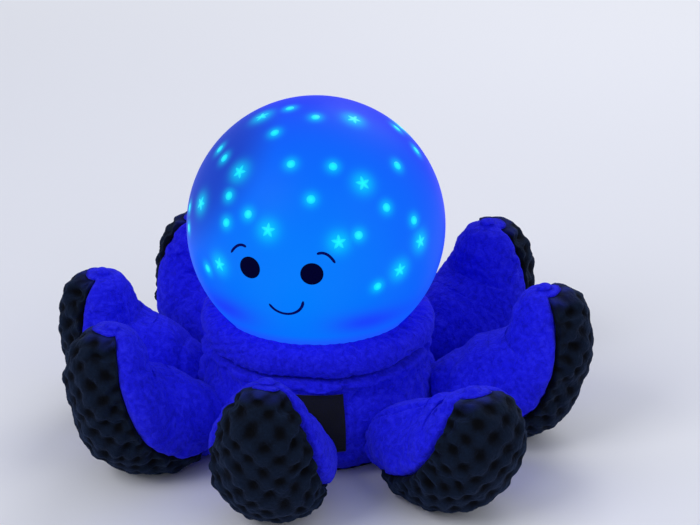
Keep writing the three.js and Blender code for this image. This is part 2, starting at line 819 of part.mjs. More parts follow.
function mainBoard() {
  const bottom = bayRoof + bayWall + fitGap;
  const top = bottom + boardThickness;
  const radius = housingRadius - housingWall - 2 * fitGap;
  const board = cylinder(radius * mainBoardShare, bottom, top, 24);
  const chip = block([chipSize, chipSize / 2, top - fitGap], [2 * chipSize, chipSize * 1.5, top + boardThickness]);
  const capacitor = cylinder(chipSize / 3, top - fitGap, top + chipSize / 2, 10).translate(-chipSize, chipSize, 0);
  const socket = block([-2 * chipSize, -chipSize / 4, top - fitGap], [-chipSize, chipSize / 4, top + chipSize / 2]);
  return join(board, chip, capacitor, socket);
}

const mainBoardShare = 0.82;
const chipSize = 9;

// Speaker, facing the front wall

const speakerHeight = (bayRoof + bayWall + boardThickness + housingTop) / 2 + fitGap;
const speakerFront = Math.sqrt((housingRadius - housingWall) ** 2 - speakerRadius ** 2) - fitGap;

function facingFront(profile, sides) {
  return lathe(profile, sides).rotateX(Math.PI / 2).translate(0, -speakerFront, speakerHeight);
}

function speakerBasket() {
  const throat = magnetRadius + speakerRim;
  return facingFront(
    [
      [speakerRadius - speakerRim, 0],
      [speakerRadius, 0],
      [speakerRadius, -speakerRim],
      [throat, -speakerDepth],
      [magnetRadius / 2, -speakerDepth],
      [magnetRadius / 2, -speakerDepth + speakerRim],
      [throat - speakerRim, -speakerDepth + speakerRim],
      [speakerRadius - 2 * speakerRim, -speakerRim],
      [speakerRadius - speakerRim, -speakerRim],
    ],
    roundSides,
  );
}

function speakerCone() {
  const depth = speakerDepth / 2;
  const rim = speakerRadius - speakerRim - fitGap;
  const throat = magnetRadius / 2;
  return facingFront(
    [
      [0, -depth],
      [throat, -depth],
      [rim - speakerRim, -speakerRim / 2 - fitGap],
      [rim, -speakerRim / 2 - fitGap],
      [rim, 0],
      [rim - speakerRim, 0],
      [throat, -depth + speakerRim],
      [0, -depth + speakerRim + throat / 2],
    ],
    roundSides,
  );
}

function speakerMagnet() {
  const start = -speakerDepth - fitGap;
  return facingFront([[0, start], [magnetRadius, start], [magnetRadius, start - magnetDepth], [0, start - magnetDepth]], roundSides);
}

// Power switch

function switchKnob() {
  const x = -switchTravel / 2;
  const knob = block(
    [x - knobLength / 2, switchY - knobWidth / 2, plateBottom - knobProud],
    [x + knobLength / 2, switchY + knobWidth / 2, plateTop + fitGap + sliderThickness],
  );
  const half = slotHalfLength + switchTravel / 2;
  const slider = block(
    [x - half, switchY - knobWidth / 2 - sliderMargin, plateTop + fitGap],
    [x + half, switchY + knobWidth / 2 + sliderMargin, plateTop + fitGap + sliderThickness],
  );
  return join(knob, slider);
}

function switchBody() {
  const half = slotHalfLength + switchTravel + fitGap;
  const legWidth = sliderMargin;
  const halfWidth = knobWidth / 2 + sliderMargin;
  const bottom = plateTop + fitGap;
  const sliderTop = bottom + sliderThickness + fitGap;
  const blank = block(
    [-half - legWidth, switchY - halfWidth, bottom],
    [half + legWidth, switchY + halfWidth, sliderTop + switchBodyHeight],
  );
  const channel = block([-half, switchY - halfWidth - overrun, bottom - overrun], [half, switchY + halfWidth + overrun, sliderTop]);
  return cut(blank, channel);
}

// Plush body, with the fold under the collar

// Outer line of the body from the floor up: shares of its radius and height.
const bodyLineShares = [
  [0.88, 0.04],
  [0.955, 0.12],
  [0.99, 0.26],
  [1, 0.44],
  [0.985, 0.62],
  [0.95, 0.78],
  [0.925, 0.86],
];

function bodyOutline(grow) {
  const bottom = basePanelThickness + fitGap;
  const height = bodyTop - foldHeight - bottom;
  const line = bodyLineShares.map(([r, z]) => [bodyRadius * r + grow, bottom + height * z]);
  const foldBase = bodyTop - foldHeight;
  const foldRadius = collarOuterRadius + fitGap;
  return [
    [bodyFloorRadius, bottom],
    ...line,
    [foldRadius - foldHeight / 6 + grow, foldBase],
    [foldRadius + foldHeight / 4 + grow, foldBase + foldHeight / 3],
    [foldRadius + foldHeight / 4 + grow, foldBase + (foldHeight * 2) / 3],
    [foldRadius - foldHeight / 4 + grow, bodyTop - seamGap],
  ];
}

function plushBody() {
  const outline = bodyOutline(0);
  const bottom = outline[0][1];
  return lathe([[wellRadius, bottom], ...outline, [wellRadius, bodyTop - seamGap]], bodySegments);
}

function basePanel() {
  const edge = basePanelThickness / 3;
  return lathe(
    [
      [wellRadius, 0],
      [bodyFloorRadius - edge, 0],
      [bodyFloorRadius, edge],
      [bodyFloorRadius, basePanelThickness],
      [wellRadius, basePanelThickness],
    ],
    bodySegments,
  );
}

// The collar roll: a round section, pressed flat where the globe rests on it.
function collarRoll() {
  const middle = (wellRadius + collarOuterRadius) / 2;
  const halfWidth = (collarOuterRadius - wellRadius) / 2;
  const clearRadius = globeRadius + seamGap;
  const section = Array.from({ length: collarSides }, (_, i) => {
    const a = (2 * Math.PI * i) / collarSides;
    const r = middle + halfWidth * Math.cos(a);
    const below = globeCentreHeight - (collarHeight + collarHalfHeight * Math.sin(a));
    const push = Math.max(1, clearRadius / Math.hypot(r, below));
    return [Math.max(wellRadius, r * push), globeCentreHeight - below * push];
  });
  return lathe(section, bodySegments);
}

// Radius of the body's outer line at a height.
function bodyRadiusAt(height) {
  const line = bodyOutline(0);
  const i = Math.max(1, line.findIndex(([, z]) => z >= height));
  const [r0, z0] = line[i - 1];
  const [r1, z1] = line[i];
  return r0 + ((r1 - r0) * (height - z0)) / (z1 - z0);
}

function sideLabel(grow) {
  const top = bodyTop - foldHeight - labelDrop + grow;
  const bottom = top - labelHeight - 2 * grow;
  const rows = 6;
  const columns = 5;
  const spread = THREE.MathUtils.radToDeg(grow / bodyRadius);
  const rings = Array.from({ length: rows + 1 }, (_, row) => {
    const z = bottom + ((top - bottom) * row) / rows;
    const inner = bodyRadiusAt(z) + fitGap - grow;
    const outer = inner + labelThickness + 2 * grow;
    const side = (radius, reverse) =>
      Array.from({ length: columns + 1 }, (_, column) => {
        const share = (reverse ? columns - column : column) / columns;
        const a = deg(labelStartDeg - spread + (labelEndDeg - labelStartDeg + 2 * spread) * share);
        return v3(radius * Math.sin(a), -radius * Math.cos(a), z);
      });
    return [...side(inner, false), ...side(outer, true)];
  });
  return ringSolid(rings);
}

// Tentacles, each built pointing along -Y and turned to its azimuth

// From root to tip: place along the reach, rest, rise and root lift shares of the height, thickness and width.
const stationShares = [
  [-0.16, 0.44, 0, 1, 0.44, 0.46],
  [0.06, 0.62, 0, 0.67, 0.62, 0.64],
  [0.28, 0.83, 0, 0.1, 0.83, 0.84],
  [0.53, 0.98, 0, 0, 0.98, 0.97],
  [0.78, 1, 0.12, 0, 1, 1],
  [0.96, 1, 0.4, 0, 0.82, 0.93],
  [1, 1, 0.63, 0, 0.73, 0.78],
  [0.985, 1, 0.8, 0, 0.63, 0.62],
  [0.965, 1, 0.92, 0, 0.42, 0.42],
  [0.955, 1, 0.985, 0, 0.14, 0.14],
];

function tentacleSpine({ heightShare, reachShare, twistDeg }) {
  const half = tentacleThickness / 2;
  const rise = tentacleHeight * heightShare - half;
  const reach = tentacleReach * reachShare;
  const stations = stationShares.map(([along, rest, up, lift, thick, wide]) => ({
    place: v3(
      bodyRadius + reach * along,
      rest * half + up * rise + lift * rootLift - floorSink,
      0,
    ),
    size: v3((thick * tentacleThickness) / 2, (wide * tentacleWidth) / 2, 0),
  }));
  return {
    line: new THREE.CatmullRomCurve3(stations.map((s) => s.place)),
    sizes: new THREE.CatmullRomCurve3(stations.map((s) => s.size)),
    twist: deg(twistDeg),
  };
}

// A point of the cross-section at a share of the spine. Before the twist, angle 0 is the upper side and 180 degrees the
// middle of the sole.
function sectionPoint(spine, share, angleInLimb, inset) {
  const angle = angleInLimb + spine.twist;
  const place = spine.line.getPoint(share);
  const ahead = spine.line.getTangent(share);
  const size = spine.sizes.getPoint(share);
  const up = (size.x - inset) * Math.cos(angle);
  const aside = (size.y - inset) * Math.sin(angle);
  return v3(aside, up * ahead.y - place.x, place.y + up * ahead.x);
}

const soleStartShare = 0.17;
const soleEndShare = 0.93;
const seamAngle = deg(seamAngleDeg);
const soleShares = Array.from(
  { length: tentacleRings },
  (_, i) => soleStartShare + ((soleEndShare - soleStartShare) * i) / (tentacleRings - 1),
);

// The stuffed limb: its ring steps in under the sole, whose panel lies in that step.
function tentacleLimb(spine) {
  const inset = soleThickness + seamGap;
  const ring = (share, depth) => {
    const upper = Array.from({ length: upperSteps + 1 }, (_, i) => {
      const angle = -seamAngle + (2 * seamAngle * i) / upperSteps;
      return sectionPoint(spine, share, angle, 0);
    });
    const lower = Array.from({ length: soleSteps + 1 }, (_, i) => {
      const angle = seamAngle + ((2 * Math.PI - 2 * seamAngle) * i) / soleSteps;
      return sectionPoint(spine, share, angle, depth);
    });
    return [...upper, ...lower];
  };
  const endGap = seamGap / tentacleHeight;
  const hair = fitGap / 10;
  const plain = [0, soleStartShare - endGap].map((share) => ring(share, hair));
  const under = [soleStartShare - endGap, ...soleShares.slice(1, -1), soleEndShare + endGap];
  const stepped = under.map((share) => ring(share, inset));
  const tip = [soleEndShare + endGap, (1 + soleEndShare) / 2, 1].map((share) => ring(share, hair));
  return ringSolid([...plain, ...stepped, ...tip]);
}

// The dotted panel that covers the sole and the outer side.
function tentacleSole(spine) {
  const rings = soleShares.map((share) => {
    const edge = seamGap / spine.sizes.getPoint(share).y;
    const line = (inset, reverse) =>
      Array.from({ length: soleSteps + 1 }, (_, j) => {
        const along = (reverse ? soleSteps - j : j) / soleSteps;
        const angle = seamAngle + edge + (2 * Math.PI - 2 * (seamAngle + edge)) * along;
        return sectionPoint(spine, share, angle, inset);
      });
    return [...line(0, false), ...line(soleThickness, true)];
  });
  const floor = block(
    [-tentacleWidth, -bodyRadius - 2 * tentacleReach, -tentacleThickness],
    [tentacleWidth, 0, 0],
  );
  return cut(ringSolid(rings), floor);
}

function bodyCutter() {
  const outline = bodyOutline(seamGap);
  return lathe([[0, -overrun], [outline[1][0], -overrun], ...outline.slice(1), [0, bodyTop]], bodySegments);
}

// Materials

function material(color, roughness, metalness = 0) {
  return new THREE.MeshStandardMaterial({ color, roughness, metalness });
}

const plush = material(0x2d35e0, 0.95);
const dotted = material(0x10233a, 0.95);
const labelCloth = material(0x1c1d26, 0.9);
const globePlastic = material(0x1a66ff, 0.3);
const clearPlastic = material(0x25e6ff, 0.15);
const faceInk = material(0x05040e, 0.5);
const podPlastic = material(0x2646c8, 0.4);
const buttonRubber = material(0xdfe6ff, 0.6);
const housingPlastic = material(0xe8e8ee, 0.45);
const boardGreen = material(0x1c6b3a, 0.5);
const steel = material(0xb8bcc2, 0.35, 1);
const darkPlastic = material(0x222326, 0.5);
const cellLabel = material(0x3a3f46, 0.4);

// Assembly

const root = new THREE.Group();
const lightUnit = new THREE.Group();
const plushToy = new THREE.Group();
root.add(lightUnit, plushToy);

function piece(parent, name, geometry, look) {
  const mesh = new THREE.Mesh(geometry, look);
  mesh.name = name;
  parent.add(mesh);
  return mesh;
}

piece(lightUnit, "globe_shell", globeShell(), globePlastic);
piece(lightUnit, "glow_dome", glowDome(), clearPlastic);
for (const [name, print] of Object.entries(facePrints(0, globeRadius - printThickness, globeRadius))) {
  piece(lightUnit, name, print.translate(0, 0, globeCentreHeight), faceInk);
}
piece(lightUnit, "control_bezel", podBezel(), podPlastic);
buttonNames.forEach((name, i) => piece(lightUnit, name, podButton(i), buttonRubber));
piece(lightUnit, "button_board", podBoard(), boardGreen);
piece(lightUnit, "light_tower", lightTower(), housingPlastic);
piece(lightUnit, "lamp_board", lampBoard(), boardGreen);
piece(lightUnit, "projector_lamp", projectorLamp(), clearPlastic);
piece(lightUnit, "chassis_deck", chassisDeck(), housingPlastic);
piece(lightUnit, "housing_cup", housingCup(), housingPlastic);
piece(lightUnit, "base_plate", basePlate(), housingPlastic);
piece(lightUnit, "main_board", mainBoard(), boardGreen);
piece(lightUnit, "speaker_basket", speakerBasket(), steel);
piece(lightUnit, "speaker_cone", speakerCone(), darkPlastic);
piece(lightUnit, "speaker_magnet", speakerMagnet(), steel);
for (let i = 0; i < cellCount; i++) piece(lightUnit, `battery_cell_${i + 1}`, batteryCell(i), cellLabel);
piece(lightUnit, "contact_plate_left", contactPlate(-1), steel);
piece(lightUnit, "contact_plate_right", contactPlate(1), steel);
piece(lightUnit, "battery_door", batteryDoor(), housingPlastic);
piece(lightUnit, "door_screw", screwAt(doorScrewX, 0, doorScrewTop), steel);
piece(lightUnit, "switch_body", switchBody(), darkPlastic);
piece(lightUnit, "switch_knob", switchKnob(), darkPlastic);
housingScrews.forEach(([x, y], i) => piece(lightUnit, `housing_screw_${i + 1}`, screwAt(x, y, screwTop), steel));
feet.forEach((place, i) => piece(lightUnit, `rubber_foot_${i + 1}`, rubberFoot(place), darkPlastic));

piece(plushToy, "plush_body", plushBody(), plush);
piece(plushToy, "base_panel", basePanel(), dotted);
piece(plushToy, "collar_roll", collarRoll(), plush);
piece(plushToy, "side_label", sideLabel(0), labelCloth);
tentacles.forEach((tentacle, i) => {
  const turned = new THREE.Group();
  turned.rotation.z = deg(tentacle.azimuthDeg);
  plushToy.add(turned);
  const spine = tentacleSpine(tentacle);
  const labelCutter = sideLabel(seamGap).rotateZ(-deg(tentacle.azimuthDeg));
  piece(turned, `tentacle_${i + 1}`, cut(tentacleLimb(spine), bodyCutter(), labelCutter), plush);
  piece(turned, `tentacle_${i + 1}_sole`, cut(tentacleSole(spine), bodyCutter()), dotted);
});

export default root;
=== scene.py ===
# A plush octopus night light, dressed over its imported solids: a glowing globe with a printed face, a stuffed
# body with a soft collar, and eight upturned tentacles with dotted soles. Lengths are in millimetres until a
# mesh is made.

import math

import bpy
import numpy as np
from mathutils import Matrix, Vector


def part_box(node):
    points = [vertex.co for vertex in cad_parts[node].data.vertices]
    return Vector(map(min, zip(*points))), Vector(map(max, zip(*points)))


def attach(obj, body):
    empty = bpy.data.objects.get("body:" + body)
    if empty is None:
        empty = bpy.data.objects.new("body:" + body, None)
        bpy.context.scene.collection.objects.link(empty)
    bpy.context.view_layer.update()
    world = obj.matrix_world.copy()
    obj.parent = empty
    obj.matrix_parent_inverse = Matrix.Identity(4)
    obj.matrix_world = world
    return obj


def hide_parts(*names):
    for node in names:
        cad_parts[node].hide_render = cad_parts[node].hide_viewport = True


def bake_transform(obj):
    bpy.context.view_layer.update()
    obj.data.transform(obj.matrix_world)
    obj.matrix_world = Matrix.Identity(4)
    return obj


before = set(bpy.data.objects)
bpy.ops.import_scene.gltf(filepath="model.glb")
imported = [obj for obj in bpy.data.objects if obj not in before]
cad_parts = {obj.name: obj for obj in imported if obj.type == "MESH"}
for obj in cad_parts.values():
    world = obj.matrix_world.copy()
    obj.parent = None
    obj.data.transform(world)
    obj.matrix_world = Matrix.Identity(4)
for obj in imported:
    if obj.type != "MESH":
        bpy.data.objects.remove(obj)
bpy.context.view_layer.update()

MM = 0.001
TURN = 2 * math.pi
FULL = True

# Sizes shared with the solids
GLOBE_R = 65.0
GLOBE_WALL = 2
GLOBE_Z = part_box("globe_shell")[1][2] / MM - GLOBE_R
CENTRE = np.array([0, 0, GLOBE_Z])
NECK_R = 41.99
NECK_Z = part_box("globe_shell")[0][2] / MM
WELL_R = 44.6
BODY_R = 62.5
BODY_FLOOR_R = 53.0
BODY_BOTTOM = 1.5
FOLD_H = 6.0
COLLAR_R = 57.5
COLLAR_HALF = 9.0
COLLAR_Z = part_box("collar_roll")[0][2] / MM + COLLAR_HALF
BODY_TOP = COLLAR_Z - COLLAR_HALF
FOLD_Z = BODY_TOP - FOLD_H
REACH = 55.0
TENTACLE_H = 86.0
THICK = 54.0
WIDE = 59.0
ROOT_LIFT = 4.5
FLOOR_SINK = 0.5
SEAM = math.radians(105)
SEAM_DRAWN_IN = [math.radians(v) for v in (8, 24, 22, 22, 22, 22, 22, 18)]
SOLE_START, SOLE_END = 0.17, 0.93
# Azimuth in degrees, height share, reach share and twist in degrees of each tentacle
TENTACLES = [
    (3, 0.92, 0.84, 4), (53, 0.79, 1.05, 16), (97, 0.99, 1.01, 0), (141, 1, 1.01, 0),
    (186, 0.96, 0.87, 0), (232, 0.96, 0.88, 0), (277, 0.94, 0.95, 0), (314, 0.97, 0.94, -5),
]
# Places along a tentacle: share of its reach, height in half thicknesses, share of its rise, share of its
# root's lift, share of its thickness and share of its width
STATIONS = [
    (-0.16, 0.44, 0, 1, 0.44, 0.46),
    (0.06, 0.62, 0, 0.67, 0.62, 0.64),
    (0.28, 0.83, 0, 0.1, 0.83, 0.84),
    (0.53, 0.98, 0, 0, 0.98, 0.97),
    (0.78, 1, 0.12, 0, 1, 1),
    (0.96, 1, 0.4, 0, 0.82, 0.93),
    (1, 1, 0.63, 0, 0.73, 0.78),
    (0.985, 1, 0.8, 0, 0.63, 0.62),
    (0.965, 1, 0.92, 0, 0.42, 0.42),
    (0.955, 1, 0.985, 0, 0.14, 0.14),
]
# Shape, azimuth and latitude of the light windows, in degrees
WINDOWS = [
    ("star", -63, 66), ("dot", -50, 78), ("dot", 16, 75), ("star", 68, 69), ("dot", -24, 62),
    ("dot", 105, 52), ("dot", 98, 40), ("dot", -63, 43), ("dot", -50, 42), ("star", -31, 40),
    ("dot", 0, 48), ("dot", 26, 47), ("dot", 68, 41), ("star", 41, 38), ("dot", -31, 29),
    ("star", -50, 20), ("dot", -64, 13), ("dot", 13, 33), ("dot", 50, 26), ("dot", -17, 24),
    ("dot", -28, 18), ("dot", -60, 5), ("star", -6, 19), ("dot", 64, 17), ("star", 25, 15),
    ("dot", 34, 17), ("star", 66, 7), ("star", -30, -1), ("dot", -39, -6), ("star", 53, -2),
    ("dot", 42, -7),
]
# The windows at the back stand in rows, each with a latitude and a count
BACK_START, BACK_SWEEP = 96, 176
for row, (latitude, count) in enumerate([(20, 5), (48, 4)]):
    for i in range(count):
        kind = "star" if (i + row) % 2 else "dot"
        WINDOWS.append((kind, BACK_START + BACK_SWEEP * (i + 0.5) / count, latitude))

# Meshes


def add_object(name, data):
    obj = bpy.data.objects.new(name, data)
    bpy.context.scene.collection.objects.link(obj)
    return obj


def mesh_object(name, points, quads, triangles=(), smooth=True):
    mesh = bpy.data.meshes.new(name)
    points = np.asarray(points, float).reshape(-1, 3) * MM
    quads = np.asarray(quads, np.int32).reshape(-1, 4)
    triangles = np.asarray(triangles, np.int32).reshape(-1, 3)
    loops = np.concatenate([quads.ravel(), triangles.ravel()])
    totals = np.concatenate([np.full(len(quads), 4), np.full(len(triangles), 3)]).astype(np.int32)
    starts = np.concatenate([[0], np.cumsum(totals)[:-1]]).astype(np.int32)
    mesh.vertices.add(len(points))
    mesh.vertices.foreach_set("co", points.astype(np.float32).ravel())
    mesh.loops.add(len(loops))
    mesh.loops.foreach_set("vertex_index", loops.astype(np.int32))
    mesh.polygons.add(len(totals))
    mesh.polygons.foreach_set("loop_start", starts)
    mesh.polygons.foreach_set("loop_total", totals)
    mesh.polygons.foreach_set("use_smooth", np.full(len(totals), smooth))
    mesh.update(calc_edges=True)
    mesh.validate()
    return add_object(name, mesh)


def grid_faces(rows, columns, wrap_rows=False, wrap_columns=False, flip=False):
    i = np.arange(rows if wrap_rows else rows - 1)
    j = np.arange(columns if wrap_columns else columns - 1)
    i, j = np.meshgrid(i, j, indexing="ij")
    i2, j2 = (i + 1) % rows, (j + 1) % columns
    order = [i * columns + j, i * columns + j2, i2 * columns + j2, i2 * columns + j]
    if flip:
        order.reverse()
    return np.stack(order, -1).reshape(-1, 4)


def ring_mesh(name, grid):
    """A grid that closes on itself both ways."""
    return mesh_object(name, grid, grid_faces(*grid.shape[:2], wrap_rows=True, wrap_columns=True))


def tube(name, grid, flip=False):
    """Rings that close on themselves, with a point in the middle of each end ring."""
    n, m = grid.shape[:2]
    points = np.concatenate([grid.reshape(-1, 3), [grid[0].mean(0)], [grid[-1].mean(0)]])
    j = np.arange(m)
    k = (j + 1) % m
    first = np.stack([np.full(m, n * m), k, j], -1)
    last = np.stack([np.full(m, n * m + 1), (n - 1) * m + j, (n - 1) * m + k], -1)
    caps = np.concatenate([first, last])
    if flip:
        caps = caps[:, ::-1]
    return mesh_object(name, points, grid_faces(n, m, wrap_columns=True, flip=flip), caps)


def thicken(obj, thickness):
    solid = obj.modifiers.new("thickness", "SOLIDIFY")
    solid.thickness = thickness * MM
    solid.offset = -1


def add_attribute(obj, name, values):
    data = np.asarray(values, np.float32).ravel()
    full = np.zeros(len(obj.data.vertices), np.float32)
    full[: len(data)] = data
    obj.data.attributes.new(name, "FLOAT", "POINT").data.foreach_set("value", full)


def ripple(points, wavelength, seed):
    """Smooth noise of unit spread, made of plane waves in fixed directions."""
    waves = 14
    rng = np.random.default_rng(seed)
    directions = unit(rng.normal(size=(waves, 3)))
    rates = TURN / wavelength * rng.uniform(0.65, 1.5, waves)
    phases = rng.uniform(0, TURN, waves)
    flat = points.reshape(-1, 3)
    total = np.zeros(len(flat))
    for direction, rate, phase in zip(directions, rates, phases):
        total += np.sin(flat @ direction * rate + phase)
    return (total / math.sqrt(waves / 2)).reshape(points.shape[:-1])


def ease(x, low, high):
    t = np.clip((x - low) / (high - low), 0, 1)
    return t * t * (3 - 2 * t)


def groove(x, width):
    return np.exp(-((x / width) ** 2))


def band(x, start, full, fading, end):
    """Zero outside, and one between the two middle places."""
    return ease(x, start, full) * (1 - ease(x, fading, end))


def circle(count):
    return np.arange(count) * TURN / count


def unit(v):
    return v / np.linalg.norm(v, axis=-1, keepdims=True)


def round_axis(r, a, z):
    """Points at a radius, an angle from the front and a height."""
    return np.stack([r * np.sin(a), -r * np.cos(a), z + 0 * a], -1)


def radius_height(points):
    return np.linalg.norm(points[..., :2], axis=-1), points[..., 2]


def run_length(points):
    """How far each point of a line lies from the first, along the line."""
    return np.concatenate([[0], np.cumsum(np.linalg.norm(np.diff(points, axis=0), axis=-1))])


def turned(points, azimuth_deg):
    a = math.radians(azimuth_deg)
    c, s = math.cos(a), math.sin(a)
    out = points.copy()
    out[..., 0] = c * points[..., 0] - s * points[..., 1]
    out[..., 1] = s * points[..., 0] + c * points[..., 1]
    return out


def lathe_grid(profile, around):
    return round_axis(profile[:, :1], circle(around), profile[:, 1:])


def on_globe(azimuth_deg, latitude_deg):
    latitude = np.radians(latitude_deg)
    return round_axis(np.cos(latitude), np.radians(azimuth_deg), np.sin(latitude))


def near(azimuth_deg, latitude_deg, east, north):
    """Directions that lie some millimetres east and north of a place, along the globe's surface."""
    centre = on_globe(azimuth_deg, latitude_deg)
    eastward = on_globe(azimuth_deg + 90, 0.0)
    northward = np.cross(centre, eastward)
    step = np.asarray(east)[..., None] * eastward + np.asarray(north)[..., None] * northward
    length = np.linalg.norm(step, axis=-1, keepdims=True)
    angle = length / GLOBE_R
    return centre * np.cos(angle) + step / np.maximum(length, 1e-9) * np.sin(angle)


class Curve:
    """Centripetal Catmull-Rom curve through points, as the solids use."""

    def __init__(self, points):
        self.p = np.asarray(points, float)

    def at(self, t):
        t = np.clip(np.asarray(t, float), 0, 1)
        last = len(self.p) - 1
        place = t * last
        i = np.minimum(place.astype(int), last - 1)
        w = (place - i)[..., None]
        p = np.concatenate([[2 * self.p[0] - self.p[1]], self.p, [2 * self.p[-1] - self.p[-2]]])
        p0, p1, p2, p3 = p[i], p[i + 1], p[i + 2], p[i + 3]

        def gap(a, b):
            return np.maximum(np.linalg.norm(a - b, axis=-1) ** 0.5, 1e-4)[..., None]

        d0, d1, d2 = gap(p0, p1), gap(p1, p2), gap(p2, p3)
        t1 = ((p1 - p0) / d0 - (p2 - p0) / (d0 + d1) + (p2 - p1) / d1) * d1
        t2 = ((p2 - p1) / d1 - (p3 - p1) / (d1 + d2) + (p3 - p2) / d2) * d1
        c2 = -3 * p1 + 3 * p2 - 2 * t1 - t2
        c3 = 2 * p1 - 2 * p2 + t1 + t2
        return p1 + t1 * w + c2 * w**2 + c3 * w**3

    def tangent(self, t):
        a = np.clip(np.asarray(t) - 1e-4, 0, 1)
        b = np.clip(np.asarray(t) + 1e-4, 0, 1)
        return unit(self.at(b) - self.at(a))


def resample(points, count):
    """Points spaced evenly along a Catmull-Rom curve."""
    curve = Curve(points)
    t = np.linspace(0, 1, 2000)
    length = run_length(curve.at(t))
    return curve.at(np.interp(np.linspace(0, length[-1], count), length, t))


# Cloth

# The cloth is simulated at a larger size, over a number of frames, and may move so many millimetres
SWELL_SCALE = 10.0
SWELL_FRAMES = 20
SWELL_LIMIT = 5.0


def swell(pieces):
    """Swells pads of cloth from inside, in one simulation, and gives how far their points move.

    Each piece is a grid of points whose columns close on themselves, whether its rows do so too, whether its
    faces are turned, and how firmly each point is held. The cloth is cut a little larger than its filling, so
    that it gathers at its seams.
    """
    if not FULL:
        return [np.zeros_like(grid) for grid, *_ in pieces]
    points, quads, holds, ends = [], [], [], [0]
    for grid, wrap_rows, flip, hold in pieces:
        points.append(grid.reshape(-1, 3))
        quads.append(grid_faces(*hold.shape, wrap_rows, True, flip) + ends[-1])
        holds.append(np.round(hold.ravel() * 4) / 4)
        ends.append(ends[-1] + hold.size)
    start = np.concatenate(points)
    holds = np.concatenate(holds)
    obj = mesh_object("swelling", start * SWELL_SCALE, np.concatenate(quads))
    group = obj.vertex_groups.new(name="hold")
    for level in (0.25, 0.5, 0.75, 1.0):
        group.add([int(i) for i in np.nonzero(holds == level)[0]], level, "REPLACE")
    cloth = obj.modifiers.new("cloth", "CLOTH")
    settings = cloth.settings
    settings.quality = 5
    settings.mass = 0.05
    settings.tension_stiffness = settings.compression_stiffness = 14
    settings.shear_stiffness = 5
    settings.bending_stiffness = 0.12
    settings.shrink_min = -0.045
    settings.use_pressure = True
    settings.uniform_pressure_force = 4
    settings.vertex_group_mass = "hold"
    settings.effector_weights.gravity = 0
    cloth.collision_settings.use_collision = False
    cloth.point_cache.frame_start, cloth.point_cache.frame_end = 1, SWELL_FRAMES
    for step in range(1, SWELL_FRAMES + 1):
        bpy.context.scene.frame_set(step)
    done = obj.evaluated_get(bpy.context.evaluated_depsgraph_get()).data
    end = np.zeros(len(start) * 3, np.float32)
    done.vertices.foreach_get("co", end)
    moves = end.reshape(-1, 3) / (MM * SWELL_SCALE) - start
    distance = np.linalg.norm(moves, axis=1)
    moves *= np.minimum(1, SWELL_LIMIT / np.maximum(distance, 1e-9))[:, None]
    mesh = obj.data
    bpy.data.objects.remove(obj)
    bpy.data.meshes.remove(mesh)
    bpy.context.scene.frame_set(1)
    return [part.reshape(grid.shape) for part, (grid, *_) in zip(np.split(moves, ends[1:-1]), pieces)]


def cubic(pick, place, count, wrap):
    """Cubic interpolation between whole places, whose values pick gives."""
    first = np.floor(place).astype(int)
    w = (place - first)[..., None]
    steps = [(first + o) % count if wrap else np.clip(first + o, 0, count - 1) for o in (-1, 0, 1, 2)]
    a, b, c, d = (pick(i) for i in steps)
    return b + 0.5 * w * (c - a + w * (2 * a - 5 * b + 4 * c - d + w * (3 * (b - c) + d - a)))


def field_at(field, rows, columns, wrap_rows=False):
    """A coarse grid's values at fractional rows and columns, where each row may have columns of its own."""
    n, m = field.shape[:2]
    rows = np.asarray(rows, float)[:, None]
    field = cubic(lambda i: field[i[:, 0]], rows, n, wrap_rows)
    columns = np.broadcast_to(columns, (len(rows), np.shape(columns)[-1]))
    line = np.arange(len(rows))[:, None]
    return cubic(lambda i: field[line, i], columns, m, True)


# Materials


class Nodes:
    """A node tree and short ways to add to it."""

    def __init__(self, tree):
        self.tree = tree

    def set(self, node, **values):
        for name, value in values.items():
            node.inputs[name.replace("_", " ")].default_value = value

    def join(self, output, socket):
        self.tree.links.new(output, socket)

    def feed(self, sockets, values):
        """Gives each socket its value, or links it if the value is another node's output."""
        for socket, value in zip(sockets, values):
            if isinstance(value, bpy.types.NodeSocket):
                self.join(value, socket)
            else:
                socket.default_value = value

    def add(self, kind, links=None, **values):
        node = self.tree.nodes.new("ShaderNode" + kind)
        for name, value in values.items():
            label = name.replace("_", " ")
            if label in node.inputs:
                node.inputs[label].default_value = value
            else:
                setattr(node, name, value)
        for name, output in (links or {}).items():
            self.join(output, node.inputs[name])
        return node

    def operate(self, kind, operation, values):
        node = self.add(kind, operation=operation)
        self.feed(node.inputs, values)
        return node.outputs

    def vector(self, operation, *values):
        return self.operate("VectorMath", operation, values)

    def math(self, operation, *values):
        return self.operate("Math", operation, values)[0]

    def plus(self, a, b):
        return self.math("ADD", a, b)

    def minus(self, a, b):
        return self.math("SUBTRACT", a, b)

    def times(self, a, b):
        return self.math("MULTIPLY", a, b)

    def sight(self):
        """One for what the camera sees straight or through something clear, and zero for other light."""
        rays = self.add("LightPath").outputs
        return self.math("MAXIMUM", rays["Is Camera Ray"], rays["Is Transmission Ray"])


